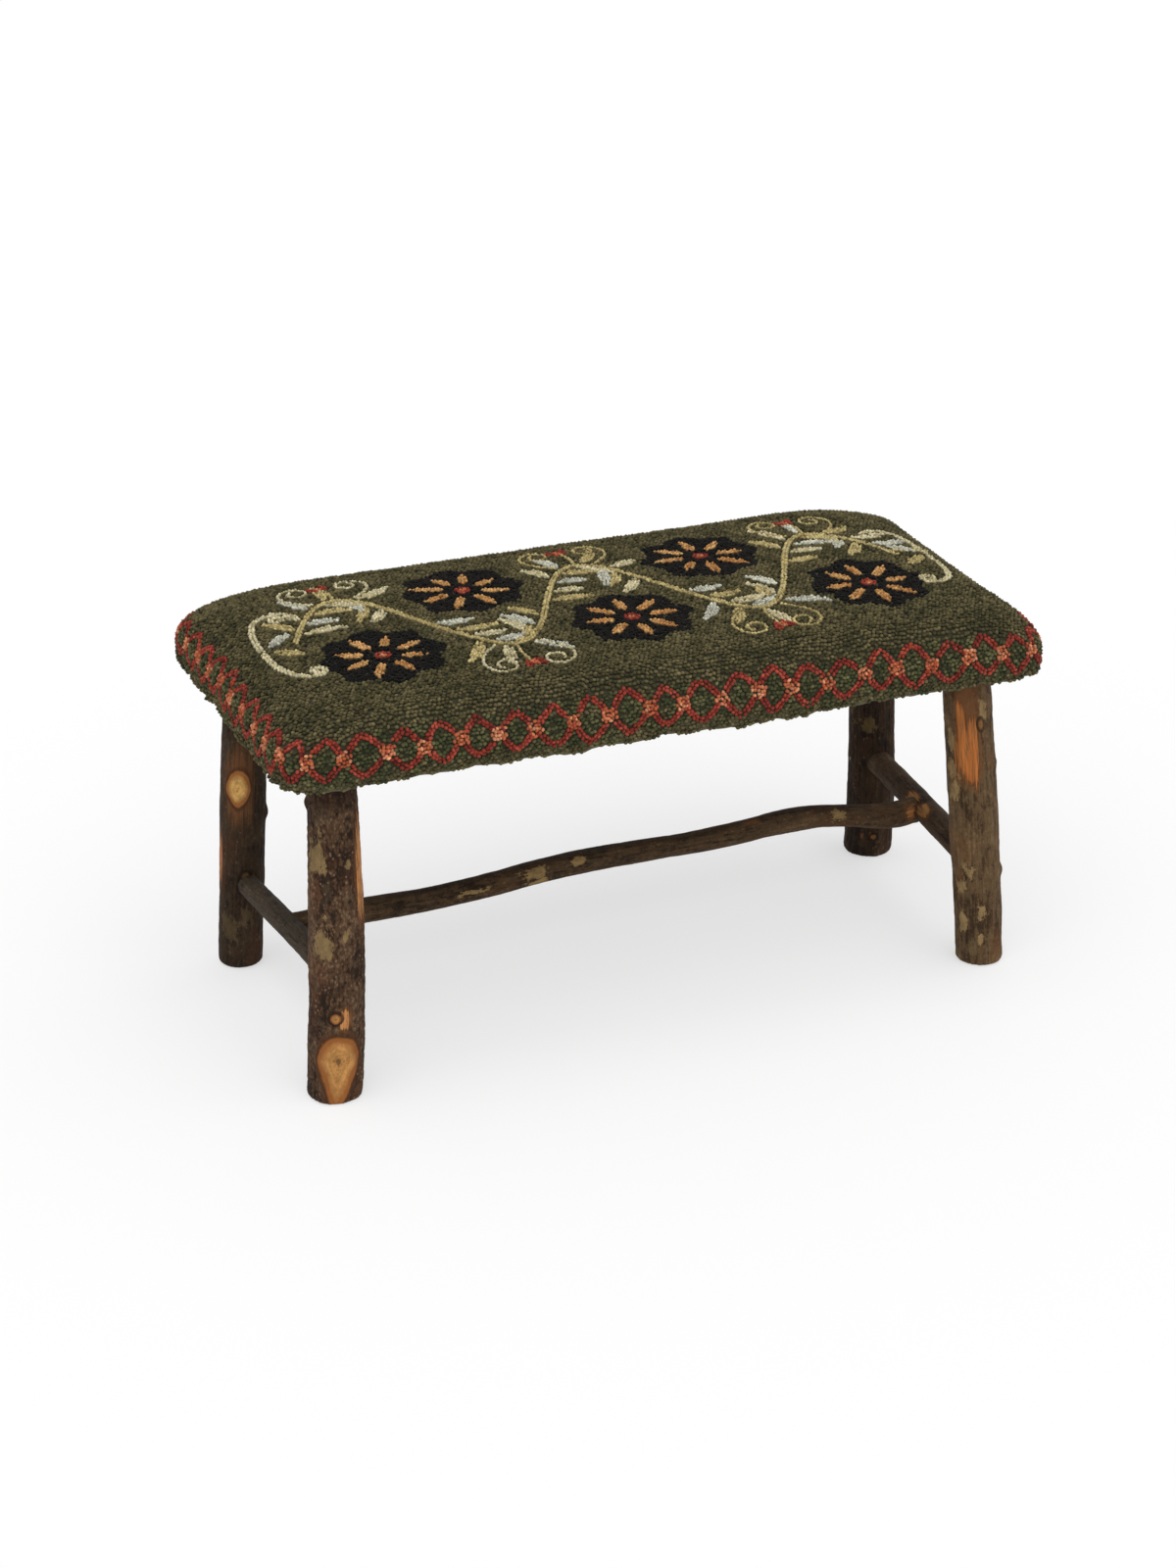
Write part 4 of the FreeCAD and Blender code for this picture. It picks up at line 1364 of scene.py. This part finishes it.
def top_fill():
    """Places that close the gaps which the rows leave."""
    x, y = np.meshgrid(np.arange(-HALF_X, HALF_X, FILL_STEP), np.arange(-HALF_Y, HALF_Y, FILL_STEP))
    flat = np.column_stack([x.ravel(), y.ravel()])
    flat += chance.uniform(-FILL_SHIFT, FILL_SHIFT, flat.shape) * MM
    return top_seeds(flat, unit(chance.normal(0, 1, flat.shape)), top_yarns(flat), FILL_SIZE)


def bare_edge(points):
    """How far up from the lower edge the cloth is bare: a little all round, and more over each leg."""
    far = np.min([np.linalg.norm(points[:, :2] - middle, axis=1) for middle, _ in leg_tops()], axis=0)
    return BARE_EDGE + LEG_EDGE * (1 - smooth_step(*LEG_EDGE_FADE, far))


def skirt_yarns(flat):
    """Clouds of moss green about the chain, and olive elsewhere."""
    cloud = noise(at_floor(flat), MOSS_CLOUD, MOSS_SEED)
    off_chain = np.abs(flat[:, 1] - BORDER_MIDDLE)
    near = 1 - smooth_step(*MOSS_FADE, off_chain)
    return np.where(near + MOSS_RAGGED * cloud > MOSS_LIMIT, YARN["moss"], YARN["olive"])


def skirt_rows(step, row_step, jitter):
    flat = []
    for row, height in enumerate(np.arange(BARE_EDGE, SKIRT_HEIGHT - SKIRT_MARGIN, row_step)):
        around = np.arange(step / 2 * (row % 2), PERIMETER, step)
        flat.append(np.column_stack([around, np.full(len(around), height)]))
    flat = np.concatenate(flat)
    flat = flat + chance.uniform(-jitter, jitter, flat.shape)
    flat = flat[flat[:, 1] > bare_edge(on_skirt(flat))]
    seeds = skirt_seeds(flat, np.tile(RIGHT[:2], (len(flat), 1)), skirt_yarns(flat), 1.0)
    return picked(seeds, cover_normals(seeds.points)[:, 2] < TOP_SLOPE + SLOPE_OVERLAP)


def thin_out(strokes, field):
    """Strokes and field together, without those that crowd an earlier one."""
    seeds = joined([strokes, field])
    first = len(strokes.points)
    tree = search_tree(seeds.points)
    kept = np.ones(len(seeds.points), bool)
    for i, point in enumerate(seeds.points):
        if kept[i]:
            for _, other, far in tree.find_range(point, FIELD_GAP):
                if other > i and (other >= first or far < STROKE_GAP):
                    kept[other] = False
    return picked(seeds, kept)


# Loops

LOOP_SIDES = 7
LOOP_HALF_LENGTH, LOOP_HALF_WIDTH = 2.65 * MM, 1.95 * MM
LOOP_SINK = 0.8 * MM
LOOP_TWIST = 0.5
LONG_SIZES, WIDE_SIZES, TALL_SIZES = (0.85, 1.15), (0.88, 1.12), (0.78, 1.16)
LONG_LEAN, WIDE_LEAN = (-0.28, 0.28), (-0.25, 0.25)
STRAND_CLOUD, STRAND_SPREAD, TINT_SPREAD = 16, 0.28, 0.2
TINT_LIMITS = 0.5, 1.6
# Rings of one loop: how wide, how high up it, and how far over with its lean
LOOP_LEVELS = (0.92, 0.0, 0.0), (0.94, 0.62, 0.6)
# Painted shade and highlight on each loop: dark at its foot, where the loops crowd, and paler at its top
FOOT_PAINTED_SHADE, SIDE_PAINTED_SHADE, TOP_PAINTED_HIGHLIGHT = 0.18, 0.82, 1.32
TOP_STRIPS = 4


def wool_material():
    """Yarn in the colours that the mesh stores, with fibres."""
    shader = new_shader("hooked_wool")
    fibre = shader.noise(shader.place(), (0.55, 0.55, 0.55), 3, 0.65)
    inputs = {0: shader.attribute("wool", "Vector"), 1: 0.62 + 0.76 * fibre}
    tint = shader.node("VectorMath", inputs, operation="MULTIPLY")
    return shader.finish(tint, 0.95, shader.bump(fibre, 0.35), Specular_IOR_Level=0.1, Sheen_Weight=0.05)


def loop_points(seeds, normals):
    """A closed dome of wool on each seed: two rings, the top and the middle of its foot."""
    single = (len(seeds.points), 1)
    ways = unit(seeds.ways - (seeds.ways * normals).sum(1, keepdims=True) * normals)
    twist = chance.normal(0, LOOP_TWIST, single)
    side = np.cross(normals, ways)
    ways, side = ways * np.cos(twist) + side * np.sin(twist), side * np.cos(twist) - ways * np.sin(twist)
    size = seeds.sizes[:, None]
    long = ways * size * LOOP_HALF_LENGTH * chance.uniform(*LONG_SIZES, single)
    wide = side * size * LOOP_HALF_WIDTH * chance.uniform(*WIDE_SIZES, single)
    tall = normals * PILE_HEIGHT * chance.uniform(*TALL_SIZES, single)
    lean = long * chance.uniform(*LONG_LEAN, single) + wide * chance.uniform(*WIDE_LEAN, single)
    sunk = normals * LOOP_SINK
    foot = seeds.points - sunk
    angles = np.arange(LOOP_SIDES)[:, None] * TAU / LOOP_SIDES
    ring = np.cos(angles) * long[:, None] + np.sin(angles) * wide[:, None]
    rings = [foot[:, None] + scale * ring + (rise * (tall + sunk) + bend * lean)[:, None]
             for scale, rise, bend in LOOP_LEVELS]
    return np.concatenate([*rings, (foot + tall + sunk + lean)[:, None], foot[:, None]], 1)


def loop_faces(count):
    """Quads and triangles of that many loops."""
    low = np.arange(LOOP_SIDES)
    after = (low + 1) % LOOP_SIDES
    high, high_after = low + LOOP_SIDES, after + LOOP_SIDES
    top, foot = np.full(LOOP_SIDES, 2 * LOOP_SIDES), np.full(LOOP_SIDES, 2 * LOOP_SIDES + 1)
    shift = np.arange(count)[:, None, None] * (2 * LOOP_SIDES + 2)
    quads = np.column_stack([low, after, high_after, high])
    dome, base = np.column_stack([high, high_after, top]), np.column_stack([after, low, foot])
    return (quads + shift).reshape(-1, 4), (np.concatenate([dome, base]) + shift).reshape(-1, 3)


def loop_tints(seeds):
    """The colour of each point of the loops: strands of three tones, with painted shade at the foot and a
    painted highlight at the top.
    """
    count = len(seeds.points)
    cloud = noise(seeds.points, STRAND_CLOUD, STRAND_SEED)
    strand = 0.5 + 0.5 * cloud + chance.normal(0, STRAND_SPREAD, count)
    low, high = np.clip(1 - 2 * strand, 0, 1)[:, None], np.clip(2 * strand - 1, 0, 1)[:, None]
    tones = YARN_TONES[seeds.yarns]
    tint = tones[:, 0] * (1 - low - high) + tones[:, 1] * high + tones[:, 2] * low
    tint = tint * np.clip(chance.normal(1, TINT_SPREAD, (count, 1)), *TINT_LIMITS)
    painted_shading = np.repeat([FOOT_PAINTED_SHADE, SIDE_PAINTED_SHADE, TOP_PAINTED_HIGHLIGHT, FOOT_PAINTED_SHADE], [LOOP_SIDES, LOOP_SIDES, 1, 1])
    return (tint[:, None] * painted_shading[:, None]).reshape(-1, 3)


def pile_regions(points, normals):
    """The piece of pile that each loop is part of, and the two axes that the piece is laid flat on."""
    on_top = normals[:, 2] >= TOP_SLOPE
    strip = np.clip(((points[:, 0] / HALF_X + 1) * TOP_STRIPS / 2).astype(int), 0, TOP_STRIPS - 1)
    for i in range(TOP_STRIPS):
        yield f"pile_top_{i + 1}", on_top & (strip == i), (0, 1)
    sideways = np.abs(normals[:, 0]) > np.abs(normals[:, 1])
    faces = ~on_top & ~sideways
    yield "pile_front", faces & (normals[:, 1] < 0), (0, 2)
    yield "pile_back", faces & (normals[:, 1] >= 0), (0, 2)
    ends = ~on_top & sideways
    yield "pile_left_end", ends & (normals[:, 0] < 0), (1, 2)
    yield "pile_right_end", ends & (normals[:, 0] >= 0), (1, 2)


def make_pile():
    strokes = joined([border_seeds(), design_seeds()])
    field = joined([top_rows(), skirt_rows(LOOP_STEP, ROW_STEP, ROW_JITTER),
                    top_fill(), skirt_rows(FILL_STEP, FILL_STEP, FILL_JITTER)])
    seeds = thin_out(strokes, field)
    normals = cover_normals(seeds.points)
    material = wool_material()
    for name, chosen, axes in pile_regions(seeds.points, normals):
        part = picked(seeds, chosen)
        points = loop_points(part, normals[chosen]).reshape(-1, 3)
        piece = new_piece(name, "hooked_wool", material, points, *loop_faces(len(part.points)))
        store(piece, "wool", loop_tints(part))
        store_map(piece, points[:, axes])


make_pile()


# Foam and batting under the cover

PADDING_STEP = 6 * MM
PAD_FLOOR, PAD_SIDE, PAD_SHOULDER, PAD_CROWN = 10, 4, 12, 14
FOAM_SHRINK = 0.2 * MM
FOAM_CELL = 1.3 * MM
FOAM_SWELL, BATTING_SWELL = 0.15 * MM, 0.3 * MM
PAD_LUMPS = (1, 40), (0.5, 15)
PAD_EDGE = 15 * MM
FOAM_TONES = (228, 212, 158), (206, 188, 128)
BATTING_TONES = (214, 212, 204), (242, 241, 236)


def foam_material():
    """Open-celled foam."""
    shader = new_shader("foam")
    place = shader.place()
    cells = shader.node("TexVoronoi", {"Vector": place, "Scale": 1 / FOAM_CELL})
    value = 0.6 * cells + 0.4 * shader.noise(place, (60, 60, 60), 3)
    tint = shader.between(value, FOAM_TONES, 0.25)
    return shader.finish(tint, 0.9, shader.bump(cells, 0.5), Specular_IOR_Level=0.2)


def batting_material():
    """Loose white fibres."""
    shader = new_shader("batting")
    place = shader.place()
    value = 0.6 * shader.noise(place, (14, 0.8, 6), 5, 0.7) + 0.4 * shader.noise(place, (22, 22, 22), 4)
    tint = shader.between(value, BATTING_TONES)
    return shader.finish(tint, 0.95, shader.bump(value, 1.0), Specular_IOR_Level=0.1, Sheen_Weight=0.2)


def swollen(grid, swell, seed):
    """Rings of points with soft lumps, except where they lie on the deck."""
    flat = grid.reshape(-1, 3)
    lumps = layered(flat, PAD_LUMPS, seed)
    lumps *= smooth_step(DECK_TOP, DECK_TOP + PAD_EDGE, flat[:, 2])
    return grid + (swell * lumps).reshape(grid.shape[:2])[..., None] * grid_normals(grid)


def padding_rings(depth, bottom, sides):
    upper = shoulder_rings(depth, PAD_SHOULDER) + crown_rings(depth, PAD_CROWN)
    return side_rings(depth, bottom, sides) + upper


def make_foam():
    depth = FOAM_DEPTH + FOAM_SHRINK
    places, _ = outline_places(depth, PADDING_STEP)
    under = sweep(places, floor_rings(depth, DECK_TOP, PAD_FLOOR))[::-1]
    over = sweep(places, padding_rings(depth, DECK_TOP, 1))
    grid = swollen(np.concatenate([under, over]), FOAM_SWELL, FOAM_SEED)
    piece = new_piece("foam_slab", "foam", foam_material(), *merged(grid))
    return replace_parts(piece, "seat_foam")


def make_batting():
    """A wrap with an outer and an inner side, open below, where the deck is."""
    places, _ = outline_places(COVER_THICKNESS, PADDING_STEP)
    inner, outer = (sweep(places, padding_rings(depth, DECK_BOTTOM, PAD_SIDE))
                    for depth in (FOAM_DEPTH, COVER_THICKNESS))
    grid = np.concatenate([inner[::-1], swollen(outer, BATTING_SWELL, BATTING_SEED)])
    piece = new_piece("batting_wrap", "batting", batting_material(), *merged(grid))
    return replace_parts(piece, "seat_batting")


# Dust cover

DUST_STEP = 4 * MM
DUST_FOLD = 9 * MM
DUST_FOLD_DEPTH = 0.5 * MM
DUST_SAG = 1.2 * MM
DUST_SAG_FROM, DUST_SAG_TO = 10 * MM, 90 * MM
DUST_PUCKER, PUCKER_WIDTH = 0.4 * MM, 40 * MM
# Shares of the sag, and the sizes of its bumps and of the puckers in millimetres
SLACK_MEAN, SLACK_SHARE, DRAWN_SHARE = 0.5, 0.35, 0.3
SLACK_SIZE, DRAWN_SIZE, PUCKER_SIZE = 120, (24, 70, 1), 13
DUST_TONES = (24, 24, 25), (44, 43, 42)
DUST_THREAD = 0.9


def make_dust_cover():
    """Thin black cloth under the seat, drawn tight between its staples, with the legs through it."""
    low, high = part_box("dust_cover")
    columns, rows = (round((high[axis] - low[axis]) / DUST_STEP) for axis in (0, 1))
    x, y = np.meshgrid(np.linspace(low.x, high.x, columns + 1), np.linspace(low.y, high.y, rows + 1))
    flat = at_floor(np.column_stack([x.ravel(), y.ravel()]))
    inside = np.minimum(flat - np.array(low), np.array(high) - flat)[:, :2].min(1)
    slack = SLACK_MEAN + SLACK_SHARE * noise(flat, SLACK_SIZE, SLACK_SEED)
    slack += DRAWN_SHARE * noise(flat, DRAWN_SIZE, DRAWN_SEED)
    fold = DUST_FOLD_DEPTH * (1 - smooth_step(DUST_FOLD, DUST_FOLD + MM, inside))
    near_edge = 1 - smooth_step(0, PUCKER_WIDTH, inside)
    pucker = DUST_PUCKER * noise(flat, PUCKER_SIZE, PUCKER_SEED) * near_edge
    z = low.z - DUST_SAG * slack * smooth_step(DUST_SAG_FROM, DUST_SAG_TO, inside) - fold + pucker
    points = np.column_stack([flat[:, :2], z])
    row, column = np.meshgrid(np.arange(rows), np.arange(columns), indexing="ij")
    start = (row * (columns + 1) + column).ravel()
    quads = np.column_stack([start, start + columns + 1, start + columns + 2, start + 1])
    material = cloth_material("dust_cloth", DUST_TONES, DUST_THREAD)
    piece = new_piece("dust_cloth", "dust_cloth", material, points, clear_of_legs(points, quads))
    area = sum(face.area for face in piece.data.polygons)
    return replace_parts(piece, "dust_cover")


# Solids that show as they are

PLY_TONES = (176, 140, 96), (214, 184, 138)
PLY_GLUE = colour(150, 112, 72)
PLY = 2.7
WIRE_TONES = (120, 120, 118), (176, 176, 174)
ZINC_TONES = (150, 154, 160), (198, 200, 202)
NAIL_TONES = (70, 66, 62), (112, 106, 98)


def plywood_material():
    """Birch plies: long grain on the faces and layers on the edges."""
    shader = new_shader("plywood")
    place = shader.place()
    grain = shader.noise(place, (220, 2.2, 1.2), 5, 0.65)
    tint = shader.between(0.6 * grain + 0.4 * shader.noise(place, (160, 30, 8), 3), PLY_TONES)
    layer = shader.waves(place, "Z", 2 * PLY, 0.15)
    tint = shader.mix(0.45 * layer.step(0.55, 0.8), tint, PLY_GLUE)
    return shader.finish(tint, 0.6, shader.bump(grain, 0.2), Specular_IOR_Level=0.35)


def metal_material(name, tones, roughness, scratch):
    """Drawn or plated metal with fine scratches, its tones dark and light."""
    shader = new_shader(name)
    place = shader.place()
    lines = shader.noise(place, scratch, 4, 0.6)
    cloud = shader.noise(place, (6, 6, 6), 3)
    tint = shader.between(0.5 * lines + 0.5 * cloud, tones)
    rough = (roughness - 0.1) + 0.2 * cloud
    return shader.finish(tint, rough, shader.bump(lines, 0.05), Metallic=1.0)


def dress(material, *nodes):
    """Gives solids that are kept as they are their material."""
    for node in nodes:
        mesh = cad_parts[node].data
        mesh.materials.clear()
        mesh.materials.append(material)


make_foam()
make_batting()
make_dust_cover()
dress(plywood_material(), "seat_deck")
dress(metal_material("steel_wire", WIRE_TONES, 0.35, (0.3, 0.3, 3)), "cover_staples", "dust_cover_staples")
dress(metal_material("zinc_steel", ZINC_TONES, 0.32, (0.4, 0.4, 0.4)), "leg_screws", "leg_washers")
dress(metal_material("dull_steel", NAIL_TONES, 0.5, (0.3, 0.3, 0.3)), "joint_brads")


# Camera, light and floor

CAMERA_LENS = 77.265
CAMERA_AZIMUTH = -22.1
CAMERA_ELEVATION = 24.4
CAMERA_DISTANCE = 3.485
CAMERA_TARGET = Vector((-0.0207, 0, 0.208))
FLOOR_HALF = 60.0
FLOOR_TINTS = (0.955, 0.955, 0.955), (0.965, 0.965, 0.965)
FLOOR_WHITE = 0.55
WHITE = (1, 1, 1)
WORLD_LIGHT = 0.64
# Soft lamps from far away: strength, spread, azimuth from the front and height above the floor in degrees
SUNS = {"key": (1.3, 80, -30, 58), "fill": (0.35, 90, 60, 35)}


def aim(thing, azimuth, elevation):
    """Turns a camera or lamp to look from there, in degrees from the front and up; the way back to it."""
    turn, rise = math.radians(azimuth), math.radians(elevation)
    back = Vector((math.sin(turn) * math.cos(rise), -math.cos(turn) * math.cos(rise), math.sin(rise)))
    thing.rotation_euler = (-back).to_track_quat("-Z", "Y").to_euler()
    return back


def make_camera():
    data = bpy.data.cameras.new("camera")
    data.lens = CAMERA_LENS
    camera = placed("camera", data)
    camera.location = CAMERA_TARGET + aim(camera, CAMERA_AZIMUTH, CAMERA_ELEVATION) * CAMERA_DISTANCE
    bpy.context.scene.camera = camera


def make_sun(name, strength, spread, azimuth, elevation):
    data = bpy.data.lights.new(name, "SUN")
    data.energy = strength
    data.angle = math.radians(spread)
    aim(placed(name, data), azimuth, elevation)


def make_world():
    """Soft even light all round, and plain white where the background itself is seen."""
    world = bpy.data.worlds.new("studio")
    shader = Shader(world)
    strength = shader.node("MapRange", {"Value": shader.seen(), "To Min": WORLD_LIGHT, "To Max": 1.0})
    sockets = shader.tree.nodes["Background"].inputs
    shader.feed(sockets["Color"], WHITE)
    shader.feed(sockets["Strength"], strength)
    bpy.context.scene.world = world


def make_floor():
    """White floor; to the camera it is part white on its own, so that the shadow on it stays faint."""
    shader = new_shader("floor")
    low, high = FLOOR_TINTS
    tint = shader.ramp(shader.noise(shader.place(), (4, 4, 4), 2), (0.3, low), (0.7, high))
    material = shader.finish(tint, 0.9, Specular_IOR_Level=0.0)
    lit = Value(shader, shader.tree.nodes["Principled BSDF"].outputs[0])
    white = shader.node("Emission", {"Color": WHITE, "Strength": 1.0})
    both = shader.node("MixShader", {0: FLOOR_WHITE * shader.seen(), 1: lit, 2: white})
    shader.feed(shader.tree.nodes["Material Output"].inputs["Surface"], both)
    corners = [(x * FLOOR_HALF, y * FLOOR_HALF, 0) for x, y in ((-1, -1), (1, -1), (1, 1), (-1, 1))]
    mesh = bpy.data.meshes.new("floor")
    mesh.from_pydata(corners, [], [(0, 1, 2, 3)])
    mesh.materials.append(material)
    placed("floor", mesh)


make_camera()
for sun, setting in SUNS.items():
    make_sun(sun, *setting)
make_world()
make_floor()
bpy.context.scene.view_settings.view_transform = "Standard"
